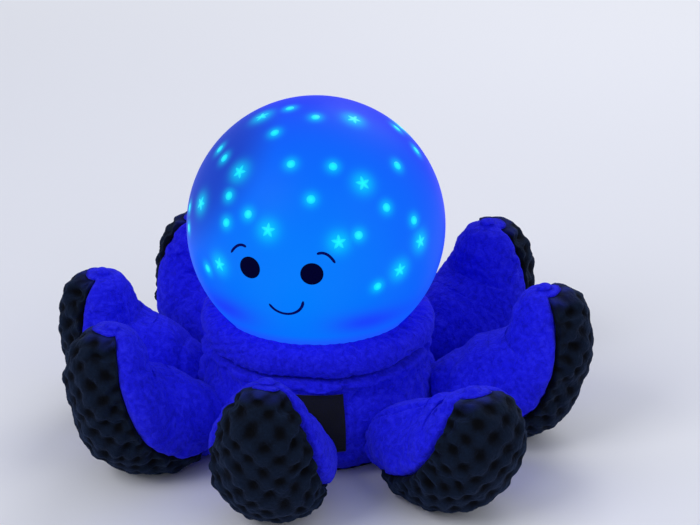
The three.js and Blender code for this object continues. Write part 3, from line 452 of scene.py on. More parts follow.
class Look(Nodes):
    """A material and short ways to build it."""

    def __init__(self, name, **values):
        self.material = bpy.data.materials.new(name)
        self.material.use_nodes = True
        super().__init__(self.material.node_tree)
        self.shader = self.tree.nodes["Principled BSDF"]
        self.set(self.shader, **values)
        self.where = self.add("TexCoord").outputs["Object"]

    def link(self, output, name):
        self.join(output, self.shader.inputs[name])

    def attribute(self, name):
        return self.add("Attribute", attribute_name=name).outputs["Fac"]

    def ramp(self, factor, stops):
        node = self.add("ValToRGB", {0: factor})
        elements = node.color_ramp.elements
        while len(elements) < len(stops):
            elements.new(0.5)
        for element, (place, color) in zip(elements, stops):
            element.position = place
            element.color = rgb(*color)
        return node.outputs["Color"]

    def mix(self, factor, a, b, kind="MIX"):
        node = self.add("Mix", data_type="RGBA", blend_type=kind)
        self.feed((node.inputs[0], node.inputs[6], node.inputs[7]), (factor, a, b))
        return node.outputs[2]

    def noise(self, scale, detail=2, roughness=0.5, distortion=0.0, where=None):
        return self.add("TexNoise", {"Vector": where or self.where}, Scale=scale, Detail=detail,
                        Roughness=roughness, Distortion=distortion).outputs[0]

    def fade(self, value, low, high, top=1.0):
        """Rises softly from zero at one value to its top at another."""
        node = self.add("MapRange", {0: value}, interpolation_type="SMOOTHSTEP")
        self.set(node, From_Min=low, From_Max=high, To_Min=0.0, To_Max=top)
        return node.outputs[0]

    def bumped(self, height, strength, distance):
        """Adds the surface's bumps and gives the finished material."""
        node = self.add("Bump", {"Height": height}, Strength=strength, Distance=distance)
        self.link(node.outputs[0], "Normal")
        return self.material


def linear(v):
    v = v / 255
    return v / 12.92 if v <= 0.04045 else ((v + 0.055) / 1.055) ** 2.4


def rgb(r, g, b):
    return (linear(r), linear(g), linear(b), 1.0)


def darker(color, share):
    return tuple(v * share for v in color)


def plush_look():
    look = Look("plush_pile", Roughness=0.95, Sheen_Weight=0.3, Sheen_Roughness=0.4,
                Sheen_Tint=rgb(96, 100, 255), Specular_IOR_Level=0.1)
    nap = look.noise(30, detail=3)
    curl = look.noise(330, roughness=0.6, distortion=0.6)
    pile = look.noise(1700, detail=3, roughness=0.65)
    base = look.ramp(nap, [(0.3, (20, 20, 212)), (0.5, (27, 27, 232)), (0.72, (37, 37, 246))])
    flecks = look.ramp(curl, [(0.3, (12, 12, 158)), (0.47, (24, 24, 222)), (0.7, (52, 53, 255))])
    fibre = look.ramp(pile, [(0.3, (15, 15, 168)), (0.52, (30, 30, 236)), (0.75, (58, 60, 255))])
    look.link(look.mix(0.28, look.mix(0.6, base, flecks), fibre), "Base Color")
    return look.bumped(look.plus(look.times(pile, 0.4), curl), strength=0.85, distance=0.0015)


def dotted_look():
    """Short dark pile with painted shade in its pits, and a painted glow of the globe's light, in the plush's
    colour, on bump tops marked for it.
    """
    look = Look("dotted_pile", Roughness=0.92, Sheen_Weight=0.22, Sheen_Roughness=0.5,
                Sheen_Tint=rgb(80, 110, 170), Specular_IOR_Level=0.1)
    rise = look.attribute("rise")
    curl = look.noise(480, detail=3, roughness=0.6, distortion=0.5)
    pile = look.noise(1500, detail=3, roughness=0.65)
    # Painted shade: the colour darkens down into the pits between the bumps.
    base = look.ramp(rise, [(0.0, (0, 1, 4)), (0.35, (2, 5, 13)), (0.7, (5, 13, 28)), (1.0, (11, 25, 46))])
    flecks = look.ramp(curl, [(0.3, (2, 5, 13)), (0.48, (6, 14, 29)), (0.75, (13, 27, 48))])
    fibre = look.ramp(pile, [(0.3, (3, 7, 18)), (0.52, (8, 17, 33)), (0.75, (24, 40, 64))])
    tone = look.mix(0.25, look.mix(0.4, base, flecks), fibre)
    # More painted shade: the pits are multiplied darker, the more so the lower they lie.
    shade = look.ramp(rise, [(0.0, (14, 14, 24)), (0.35, (90, 90, 110)), (0.7, (255, 255, 255))])
    tone = look.mix(1.0, tone, shade, "MULTIPLY")
    # Painted light: the globe's blue glow on bump tops high up near the tip, as a tint of the plush's colour.
    painted_globe_glow = look.times(look.attribute("painted_globe_glow"), 0.4)
    look.link(look.mix(painted_globe_glow, tone, rgb(34, 40, 160)), "Base Color")
    return look.bumped(look.plus(look.times(pile, 0.45), curl), strength=0.55, distance=0.001)


def globe_look():
    look = Look("globe_shell_glow", Roughness=0.45, Base_Color=rgb(0, 3, 24), Specular_IOR_Level=0.04,
                Emission_Strength=1.0)
    from_centre = look.vector("SUBTRACT", look.where, CENTRE * MM)[0]
    outward = look.vector("NORMALIZE", from_centre)[0]
    side, behind, up = look.add("SeparateXYZ", {0: outward}).outputs

    def towards(azimuth, latitude):
        return look.vector("DOT_PRODUCT", outward, on_globe(azimuth, latitude))["Value"]

    def spot(x, z, wide, high):
        """One at a place on the front, given by its share to the side and up, falling off softly round it."""
        dx = look.math("DIVIDE", look.minus(side, x), wide)
        dz = look.math("DIVIDE", look.minus(up, z), high)
        reach = look.plus(look.times(dx, dx), look.times(dz, dz))
        return look.times(look.math("EXPONENT", look.times(reach, -1.0)), look.fade(behind, 0.0, -0.3))

    # The light is palest a little to the right of the front, and uneven like a cloud.
    cloud = look.times(look.minus(look.noise(16), 0.5), 0.16)
    lit = look.plus(look.times(look.plus(towards(8, -2), cloud), 0.6), 0.4)
    tone = look.ramp(lit, [
        (0.22, (30, 50, 244)), (0.4, (26, 66, 248)), (0.53, (20, 86, 250)), (0.68, (12, 99, 251)),
        (0.82, (7, 107, 252)), (0.94, (4, 118, 252)), (1.0, (3, 124, 253)),
    ])
    # It is darker at the upper left, and bluer at the foot and low on both sides. The halos lie over that.
    for amount, color in (
        (look.fade(towards(-65, 35), 0.74, 0.97, 0.92), (28, 64, 192)),
        (look.fade(up, -0.54, -0.66, 0.8), (31, 80, 252)),
        (look.times(spot(-0.5, -0.42, 0.26, 0.13), 0.9), (30, 60, 250)),
        (look.times(spot(0.58, -0.44, 0.24, 0.11), 0.9), (26, 62, 252)),
        (look.attribute("halo"), (0, 206, 255)),
    ):
        tone = look.mix(amount, tone, rgb(*color))
    look.link(tone, "Emission Color")
    return look.bumped(look.noise(220), strength=0.05, distance=0.0003)


def window_look():
    look = Look("window_light", Roughness=0.4, Base_Color=rgb(2, 40, 56), Specular_IOR_Level=0.2,
                Emission_Strength=1.0)
    stops = [(0.0, (0, 186, 255)), (0.25, (0, 214, 255)), (0.6, (0, 234, 254)), (1.0, (20, 246, 255))]
    look.link(look.ramp(look.attribute("core"), stops), "Emission Color")
    return look.bumped(look.noise(900), strength=0.1, distance=0.0002)


def print_look(name, color, glow):
    """Ink on the lit globe, through which a little of its light comes."""
    look = Look(name, Roughness=0.6, Specular_IOR_Level=0.02, Emission_Strength=1.0)
    grain = look.noise(1400, roughness=0.6)
    look.link(look.ramp(grain, [(0.3, darker(color, 0.7)), (0.7, color)]), "Base Color")
    look.link(look.ramp(grain, [(0.3, darker(glow, 0.85)), (0.7, glow)]), "Emission Color")
    return look.bumped(grain, strength=0.08, distance=0.0001)


def plastic_look(name, color, roughness, shade=0.7):
    """A plain surface whose colour is clouded down to a share of itself."""
    look = Look(name, Roughness=roughness)
    cloud = look.noise(40)
    look.link(look.ramp(cloud, [(0.25, darker(color, shade)), (0.75, color)]), "Base Color")
    return look.bumped(look.noise(900, roughness=0.6), strength=0.12, distance=0.0002)


def steel_look():
    look = Look("steel", Roughness=0.32, Metallic=1.0)
    stretch = look.add("Mapping", {0: look.where})
    stretch.inputs["Scale"].default_value = (1.0, 14.0, 1.0)
    lines = look.noise(260, detail=3, roughness=0.6, where=stretch.outputs[0])
    color = (178, 182, 188)
    look.link(look.ramp(lines, [(0.3, darker(color, 0.8)), (0.7, color)]), "Base Color")
    return look.bumped(lines, strength=0.15, distance=0.0002)


def label_look():
    look = Look("label_weave", Roughness=0.9, Sheen_Weight=0.1, Specular_IOR_Level=0.2)
    dark, pale = (4, 6, 20), (11, 14, 33)
    across, down = (look.add("TexWave", {"Vector": look.where}, wave_type="BANDS", bands_direction=way,
                             Scale=330.0, Distortion=0.6).outputs["Fac"] for way in "XZ")
    weave = look.times(across, down)
    tone = look.ramp(look.noise(60, detail=3), [(0.3, dark), (0.7, pale)])
    look.link(look.mix(look.times(weave, 0.5), tone, rgb(*pale)), "Base Color")
    return look.bumped(weave, strength=0.4, distance=0.0003)


def lamp_look():
    look = Look("lamp_clear", Roughness=0.08, Base_Color=rgb(200, 236, 255), Transmission_Weight=0.6,
                IOR=1.46, Emission_Color=rgb(120, 200, 255), Emission_Strength=0.6)
    return look.bumped(look.noise(300), strength=0.05, distance=0.0002)


plush = plush_look()
dotted = dotted_look()
globe_glow = globe_look()
window_light = window_look()
eye_ink = print_look("eye_ink", (1, 1, 6), (0, 0, 42))
line_ink = print_look("line_ink", (2, 2, 20), (3, 4, 92))
label_cloth = label_look()


def dress(obj, material, body, replaces=()):
    obj.data.materials.append(material)
    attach(obj, body)
    if replaces:
        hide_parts(*replaces)


# Globe

STAR_TIP, STAR_WAIST = 3.7, 0.45
DOT_RADIUS = 2.1
# How far the glow beside a window reaches, and how strong it is at the window
HALO = {"star": (5.0, 0.92), "dot": (3.3, 0.88)}
# How deep the edges of windows and prints lie in the globe
PRINT_SINK = 0.3
EYE_PLACE, EYE_RADIUS = (13.5, 1.8), 5.45
# Azimuth and latitude of a brow's inner end, middle and outer end, in degrees
BROW = [(15.6, 10.4), (19.6, 10.3), (23.2, 6.3)]
BROW_HALF = 0.66
# The mouth is an arc about a place, turned and swept to each side by so many degrees
MOUTH_PLACE, MOUTH_RADIUS = (1.7, -10.9), 8.8
MOUTH_TILT, MOUTH_SWEEP = 11, 76
MOUTH_HALF = 0.72
# Section of a printed line: across it in half widths, and above the globe
STROKE = [(-1, -PRINT_SINK), (-1, 0.02), (-0.7, 0.13), (0, 0.16), (0.7, 0.13), (1, 0.02), (1, -PRINT_SINK)]


def star_radius(angle):
    """Radius of a five-armed star with rounded arms, pointing north."""
    phase = np.abs(((angle - math.pi / 2) / (TURN / 5) + 0.5) % 1 - 0.5) * 2
    return STAR_TIP * (STAR_WAIST + (1 - STAR_WAIST) * (1 - phase) ** 1.3)


def globe_arc(radius, latitude):
    return np.stack([radius * np.cos(latitude), GLOBE_Z + radius * np.sin(latitude)], -1)


def make_globe():
    rings, around = (190, 300) if FULL else (110, 180)
    pole, lip = 0.02, 0.4
    outer = globe_arc(GLOBE_R, np.linspace(math.pi / 2, -math.acos(NECK_R / GLOBE_R), rings))
    outer[0, 0] = pole
    inner_r, bore = GLOBE_R - GLOBE_WALL, NECK_R - GLOBE_WALL
    inner = globe_arc(inner_r, np.linspace(-math.acos(bore / inner_r), math.pi / 2, 40)[1:])
    inner[-1, 0] = pole
    foot = outer[-1, 1]
    neck = [
        (NECK_R - lip, foot - 0.5), (NECK_R, foot - 1.4), (NECK_R, NECK_Z + lip), (NECK_R - lip, NECK_Z),
        (bore + lip, NECK_Z), (bore, NECK_Z + lip), (bore, foot),
    ]
    grid = lathe_grid(np.concatenate([outer, neck, inner]), around)
    obj = tube("globe_dome", grid, flip=True)
    halo = np.zeros(grid.shape[:2])
    directions = unit(grid - CENTRE)
    for kind, azimuth, latitude in WINDOWS:
        distance = GLOBE_R * np.arccos(np.clip(directions @ on_globe(azimuth, latitude), -1, 1))
        reach, strength = HALO[kind]
        halo = np.maximum(halo, strength * groove(distance, reach))
    add_attribute(obj, "halo", halo)
    dress(obj, globe_glow, "light_unit", ["globe_shell"])


def patch(place, radius_at, height_at, rings, around):
    """A low mound on the globe, whose outline is a radius by angle, and the share of it of each ring."""
    angle = circle(around)
    share = np.concatenate([np.linspace(0.02, 1, rings), [1.0]])
    reach = radius_at(angle)[None, :] * share[:, None]
    directions = near(*place, reach * np.cos(angle), reach * np.sin(angle))
    height = height_at(share)[:, None] + 0 * reach
    height[-1] = -PRINT_SINK
    return CENTRE + directions * (GLOBE_R + height)[..., None], share


def joined(name, grids):
    """One mesh from small grids whose rings close on themselves, each with a point in the middle."""
    points, quads, caps, offset = [], [], [], 0
    for grid in grids:
        n, m = grid.shape[:2]
        points += [grid.reshape(-1, 3), grid[0].mean(0)[None]]
        quads.append(grid_faces(n, m, wrap_columns=True, flip=True) + offset)
        j = np.arange(m)
        caps.append(np.stack([np.full(m, n * m), j, (j + 1) % m], -1) + offset)
        offset += n * m + 1
    return mesh_object(name, np.concatenate(points), np.concatenate(quads), np.concatenate(caps))


def make_windows():
    shapes = {"star": (star_radius, 8, 60), "dot": (lambda a: DOT_RADIUS + 0 * a, 6, 28)}
    grids, cores = [], []
    for kind, azimuth, latitude in WINDOWS:
        radius_at, rings, around = shapes[kind]
        grid, share = patch((azimuth, latitude), radius_at, lambda s: 0.12 - 0.1 * s**2, rings, around)
        grids.append(grid)
        core = np.clip(1.1 - share, 0, 1)
        cores += [np.repeat(core, around), core[:1]]
    obj = joined("light_windows", grids)
    add_attribute(obj, "core", np.concatenate(cores))
    dress(obj, window_light, "light_unit")


def arc(start, middle, end):
    """A smooth curve through three points."""
    t = np.linspace(0, 1, 40)[:, None]
    return start * (1 - t) * (1 - 2 * t) + middle * 4 * t * (1 - t) + end * t * (2 * t - 1)


def make_face():
    azimuth, latitude = EYE_PLACE
    for side, name in ((1, "right"), (-1, "left")):
        place = (side * azimuth, latitude)
        grid, _ = patch(place, lambda a: EYE_RADIUS + 0 * a, lambda s: 0.16 - 0.1 * s**6, 10, 72)
        dress(joined("eye_print_" + name, [grid]), eye_ink, "light_unit", ["eye_" + name])
        points = [on_globe(side * along, up) for along, up in BROW]
        stroke("brow_print_" + name, arc(*points), BROW_HALF, ["brow_" + name])
    a = np.radians(MOUTH_TILT - 90 + MOUTH_SWEEP * np.linspace(-1, 1, 48))
    line = near(*MOUTH_PLACE, MOUTH_RADIUS * np.cos(a), MOUTH_RADIUS * np.sin(a))
    stroke("mouth_print", line, MOUTH_HALF, ["mouth"])


def stroke(name, line, half, nodes):
    """A printed line with round ends along directions on the globe."""
    line = unit(line)
    aside = np.cross(unit(np.gradient(line, axis=0)), line)
    ends = np.minimum(np.arange(len(line)), np.arange(len(line))[::-1])
    taper = np.sqrt(np.clip((ends + 0.35) / 3, 0.1, 1))
    rings = []
    for across, height in STROKE:
        rings.append(CENTRE + line * (GLOBE_R + height) + aside * (across * half * taper)[:, None])
    dress(tube(name, np.stack(rings, 1)), line_ink, "light_unit", nodes)


make_globe()
make_windows()
make_face()

# Plush body

# Shares of the body's radius and height along its outer line
BODY_SHARES = [
    (0.88, 0.04), (0.955, 0.12), (0.99, 0.26), (1, 0.44), (0.985, 0.62), (0.95, 0.78), (0.925, 0.86),
]
# Sizes of the coarse grids that are simulated
BODY_ROWS, BODY_COLUMNS = 20, 128
COLLAR_SIDES, COLLAR_COLUMNS = 24, 128
LIMB_ROWS, LIMB_COLUMNS = 36, 48
# Wavelength of the pile's finest unevenness
FUZZ = 2.6
# The label's left edge and sweep in degrees, its size, and how far it hangs below the fold
LABEL_FROM, LABEL_SWEEP = 3, 25
LABEL_WIDE, LABEL_HIGH = 28, 29
LABEL_DROP = 1.5
# How far in from the label's edge its seam lies, how wide the seam is, and how long its stitches are
LABEL_SEAM, LABEL_SEAM_WIDE, STITCH = 1.7, 0.45, 2.4
LABEL_THICK, SOLE_THICK = 0.5, 0.9
LABEL_BOTTOM = FOLD_Z - LABEL_DROP - LABEL_HIGH
# Azimuth halfway up and slant, in degrees, and depth of the collar's wrinkles
WRINKLES = [(-32, 26, 1.0), (-44, 24, 1.2), (-57, 22, 0.8), (64, -20, 0.7)]
# Room between the collar and the globe
GLOBE_GAP = 0.5


def body_profile():
    height = FOLD_Z - BODY_BOTTOM
    edge = COLLAR_R + 0.3
    return np.array([
        (BODY_FLOOR_R, BODY_BOTTOM),
        *[(BODY_R * r, BODY_BOTTOM + height * z) for r, z in BODY_SHARES],
        (edge - FOLD_H / 6, FOLD_Z), (edge + FOLD_H / 4, FOLD_Z + FOLD_H / 3),
        (edge + FOLD_H / 4, FOLD_Z + FOLD_H * 2 / 3), (edge - FOLD_H / 4, BODY_TOP - 0.5),
    ])


BODY_LINE = resample(body_profile(), 400)
BODY_LINE = BODY_LINE[np.argsort(BODY_LINE[:, 1])]


def body_radius(z):
    """Radius of the body's outer line at a height."""
    return np.interp(z, BODY_LINE[:, 1], BODY_LINE[:, 0])


def azimuths(grid):
    return np.degrees(np.arctan2(grid[..., 0], -grid[..., 1]))


def half_turn(degrees):
    """Degrees brought to between -180 and 180."""
    return (degrees + 180) % 360 - 180


def level_outward(grid):
    return unit(grid * [1, 1, 0])


def label_mask(grid):
    """One where the label lies on the body, zero away from it."""
    half = LABEL_SWEEP / 2
    off, z = np.abs(half_turn(azimuths(grid) - LABEL_FROM - half)), grid[..., 2]
    up = band(z, LABEL_BOTTOM - 4.5, LABEL_BOTTOM - 0.5, FOLD_Z, FOLD_Z + 2)
    return (1 - ease(off, half + 1, half + 4.5)) * up


def body_inset(outward):
    """How far the outer skin lies inside its line before it swells, from none at its edges."""
    return outward * (0.9 * np.sin(np.linspace(0, 1, len(outward)) * math.pi) ** 0.5)[:, None, None]


def coarse_body():
    grid = lathe_grid(resample(body_profile(), BODY_ROWS), BODY_COLUMNS)
    grid -= body_inset(level_outward(grid))
    hold = np.zeros(grid.shape[:2])
    hold[[0, -1]] = 1
    hold[-6] = 0.75
    # Each limb's root seam is held, which is an oval so many degrees and millimetres from its middle.
    seam_deg, seam_high, seam_z = 15.5, 17, 30
    for place, *_ in TENTACLES:
        across = half_turn(azimuths(grid) - place) / seam_deg
        ring = np.hypot(across, (grid[..., 2] - seam_z) / seam_high)
        hold[np.abs(ring - 1) < 0.16] = 1
    hold = np.maximum(hold, label_mask(grid) > 0.5)
    return grid, hold


def make_body(moves):
    around = 448 if FULL else 224
    n = 116 if FULL else 60
    outer = resample(body_profile(), n)
    top = np.linspace(outer[-1], [WELL_R + 0.6, BODY_TOP - 0.5], 8)[1:]
    lining = np.linspace([WELL_R, BODY_TOP - 1.1], [WELL_R, BODY_BOTTOM + 0.5], 16)
    floor = np.linspace([WELL_R + 0.5, BODY_BOTTOM], [BODY_FLOOR_R - 0.6, BODY_BOTTOM], 6)
    profile = np.concatenate([outer, top, lining, floor])
    grid = lathe_grid(profile, around)
    z = grid[..., 2]
    azimuth = azimuths(grid)
    outward = level_outward(grid)
    weight = np.zeros((len(profile), 1))
    weight[:n, 0] = np.sin(np.linspace(0, 1, n) * math.pi) ** 0.4
    bare = 1 - label_mask(grid)
    push = 0.5 * ripple(grid * [1, 1, 0.6], 34, 5) + 0.12 * ripple(grid, 12, 6)
    # The cloth puckers beside each root seam, further off the lower it is, and stands up beyond the pucker.
    high = band(z, 8, 24, 42, 52)
    off_top, off_more = 17, 0.12
    pucker, pucker_wide, swollen, swollen_wide = 1.6, 2.4, 0.7, 3
    for place, *_ in TENTACLES:
        for side in (-1, 1):
            line = half_turn(azimuth - place) - side * (off_top + (BODY_TOP - z) * off_more)
            push -= pucker * groove(line, pucker_wide) * high
            push += swollen * groove(line - side * 5, swollen_wide) * high
    # Small gathers under the collar
    a = np.radians(azimuth)
    push += 0.5 * np.sin(a * 23 + 1.2 * np.sin(a * 5)) * groove(z - FOLD_Z - 2, 5)
    push = push * bare + 0.09 * ripple(grid, FUZZ, 7) - 0.5 * (1 - bare)
    grid += outward * (push * weight)[..., None]
    grid[..., 2] += 0.4 * ripple(grid, 40, 8) * weight * ease(z, 12, 20) * bare
    if FULL:
        rows = np.arange(n) * (BODY_ROWS - 1) / (n - 1)
        swelled = field_at(moves, rows, np.arange(around) * BODY_COLUMNS / around)
        grid[:n] += (swelled - body_inset(outward[:n])) * bare[:n, :, None]
    grid[..., 2] = np.maximum(grid[..., 2], BODY_BOTTOM)
    obj = ring_mesh("body_plush", grid)
    dress(obj, plush, "plush", ["plush_body"])


def make_base_panel():
    profile = np.array([
        (WELL_R, 1.2), (WELL_R, 0.4), (WELL_R + 0.4, 0), (BODY_FLOOR_R - 0.7, 0), (BODY_FLOOR_R, 0.5),
        (BODY_FLOOR_R - 0.2, 1.1), (BODY_FLOOR_R - 0.7, 1.3),
    ])
    grid = lathe_grid(profile, 240)
    z = grid[..., 2]
    puckers = 0.1 * np.sin(np.radians(azimuths(grid)) * 60) * (z > 0.3)
    grid[..., 2] = np.maximum(z + puckers, 0)
    obj = ring_mesh("base_panel_cloth", grid)
    add_attribute(obj, "rise", np.full(grid.shape[:2], 0.6))
    dress(obj, dotted, "plush", ["base_panel"])


def collar_grid(sides, around, detail):
    """The roll that the globe sits in: rows run round its section, columns round the body."""
    A, Z = np.meshgrid(circle(sides), circle(around), indexing="ij")
    middle = (WELL_R + COLLAR_R) / 2
    half = (COLLAR_R - WELL_R) / 2
    c, s = np.cos(A), np.sin(A)
    free = np.clip(0.3 + c, 0, 1)
    grow = np.full(A.shape, 0.2)
    if detail:
        r = middle + 6 * c
        flat = round_axis(r, Z, COLLAR_Z + COLLAR_HALF * s)
        lumps = 0.5 * ripple(flat, 42, 11) + 0.14 * ripple(flat, 15, 12)
        # Soft slanting gathers on the outer face
        gathers = np.sin(Z * 17 + 1.4 * np.sin(Z * 3) + 2.4 * s) * np.clip(c, 0, 1)
        gathers *= 0.3 + 0.3 * np.sin(Z * 2 + 1)
        grow = grow + lumps * np.clip(0.4 + c, 0, 1.2) + 0.4 * gathers + 0.1 * ripple(flat, FUZZ, 13)
        # Wrinkles that run down and away from the face, each with a swelling beside it
        outside = ease(c, 0.0, 0.5)
        for place, slant, depth in WRINKLES:
            line = half_turn(np.degrees(Z) - place) - slant * s
            grow -= depth * groove(line, 2.0) * outside
            grow += 0.5 * depth * groove(line - 4, 3.0) * outside
    # The section is squarer than an ellipse.
    power = 2.3
    shape = 1 / (np.abs(c) ** power + np.abs(s) ** power) ** (1 / power)
    r = middle + (half + grow * free) * c * shape
    z = COLLAR_Z + (COLLAR_HALF + 0.4 * grow * free) * s * shape
    return round_axis(r, Z, z), c, s


def clear_of_globe(grid):
    r, z = radius_height(grid)
    push = np.maximum(1, (GLOBE_R + GLOBE_GAP) / np.hypot(r, GLOBE_Z - z))
    flat = np.maximum(WELL_R, r * push)
    out = grid.copy()
    out[..., :2] *= (flat / r)[..., None]
    out[..., 2] = GLOBE_Z - (GLOBE_Z - z) * push
    return out


def coarse_collar():
    grid, c, s = collar_grid(COLLAR_SIDES, COLLAR_COLUMNS, detail=False)
    hold = np.where(c < -0.3, 1.0, 0.0)
    hold[s < -0.85] = 1
    return clear_of_globe(grid), hold


def make_collar(moves):
    around = 448 if FULL else 224
    sides = 76 if FULL else 40
    grid, *_ = collar_grid(sides, around, detail=True)
    if FULL:
        rows = np.arange(sides) * COLLAR_SIDES / sides
        grid += field_at(moves, rows, np.arange(around) * COLLAR_COLUMNS / around, wrap_rows=True)
    grid = clear_of_globe(grid)
    r, z = radius_height(grid)
    grid[..., 2] = np.maximum(z, BODY_TOP + 0.05 - 0.6 * ease(r, COLLAR_R - 3, COLLAR_R + 2))
    obj = ring_mesh("collar_plush", grid)
    dress(obj, plush, "plush", ["collar_roll"])


def make_label():
    rows, columns = 72, 68
    v, u = np.meshgrid(np.linspace(0, 1, rows), np.linspace(0, 1, columns), indexing="ij")
    across, up = u * LABEL_WIDE, v * LABEL_HIGH
    a = np.radians(LABEL_FROM + LABEL_SWEEP * u)
    z = LABEL_BOTTOM + up
    edge = np.minimum.reduce([across, LABEL_WIDE - across, up, LABEL_HIGH - up])
    seam = groove(edge - LABEL_SEAM, LABEL_SEAM_WIDE)
    lift = 0.75 + 0.3 * ease(edge, 0, 2) - 0.3 * seam
    stitches = 0.16 * np.sin((across + up) * TURN / STITCH) * seam
    r = body_radius(z) + lift + stitches + 0.2 * np.sin(u * 5 + v * 4)
    obj = mesh_object("label_cloth", round_axis(r, a, z), grid_faces(rows, columns))
    thicken(obj, LABEL_THICK)
    dress(obj, label_cloth, "plush", ["side_label"])


# Tentacles

# How far the pile and the soles stay off the body, and the height they are pressed to on the floor
PILE_GAP, PILE_REST = 0.35, 1.6
SOLE_GAP, SOLE_REST = 0.5, 1.0
# For each limb: where the fold behind its root lies, which side it runs down, its depth, how far it slants
# towards the root, at which turn it ends its slant, and how far the upper side sinks there
ROOT_FOLDS = [
    (0.22, 1, 0.9, 0.13, 1.9, 0), (0.38, -1, 3.0, 0.33, 1.2, 5.0), (0.22, -1, 1.6, 0.13, 1.9, 0),
    (0.22, 1, 1.2, 0.13, 1.9, 0), (0.22, 1, 1.2, 0.13, 1.9, 0), (0.22, 1, 1.2, 0.13, 1.9, 0),
    (0.22, 1, 1.4, 0.13, 1.9, 0), (0.2, 1, 1.0, 0.13, 1.9, 0),
]
# How far each limb's pile lies inside its section, and how far each sole stands out from its usual place
PILE_INSET = [1.6, 0, 0, 0, 0, 0, 0, 0]
SOLE_PROUD = [-0.6, 0.8, 1.0, 1.0, 0.0, 0.6, -1.0, -0.8]
# How far the pile lies inside its section where the sole covers it
PILE_UNDER_SOLE = 4.5
# The limbs' side seams: their depth, their width, and how far apart the gathers beside them are
SEAM_DEPTH, SEAM_WIDE, GATHER_PERIOD = 0.8, 1.2, 6.8
# The soles' bumps: the period of their pattern, their height, and how far apart those of the border are
BUMP_PERIOD, BUMP_HEIGHT, BORDER_PERIOD = 13.0, 2.6, 7.2


def seat_on_body(points, gap):
    """Points that would lie in the body are brought out to its skin."""
    r, z = radius_height(points)
    wall = body_radius(np.clip(z, BODY_BOTTOM, BODY_TOP - 0.6)) + gap
    scale = np.where((z < BODY_TOP) & (r < wall), wall / np.maximum(r, 1e-6), 1.0)
    out = points.copy()
    out[..., :2] *= scale[..., None]
    return out


def rest_on_floor(points, height):
    """Points below a height are pressed up to it, softly."""
    soft, far = 0.5, 20
    out = points.copy()
    z = (points[..., 2] - height) / soft
    out[..., 2] = height + soft * np.where(z > far, z, np.log1p(np.exp(np.minimum(z, far))))
    return out


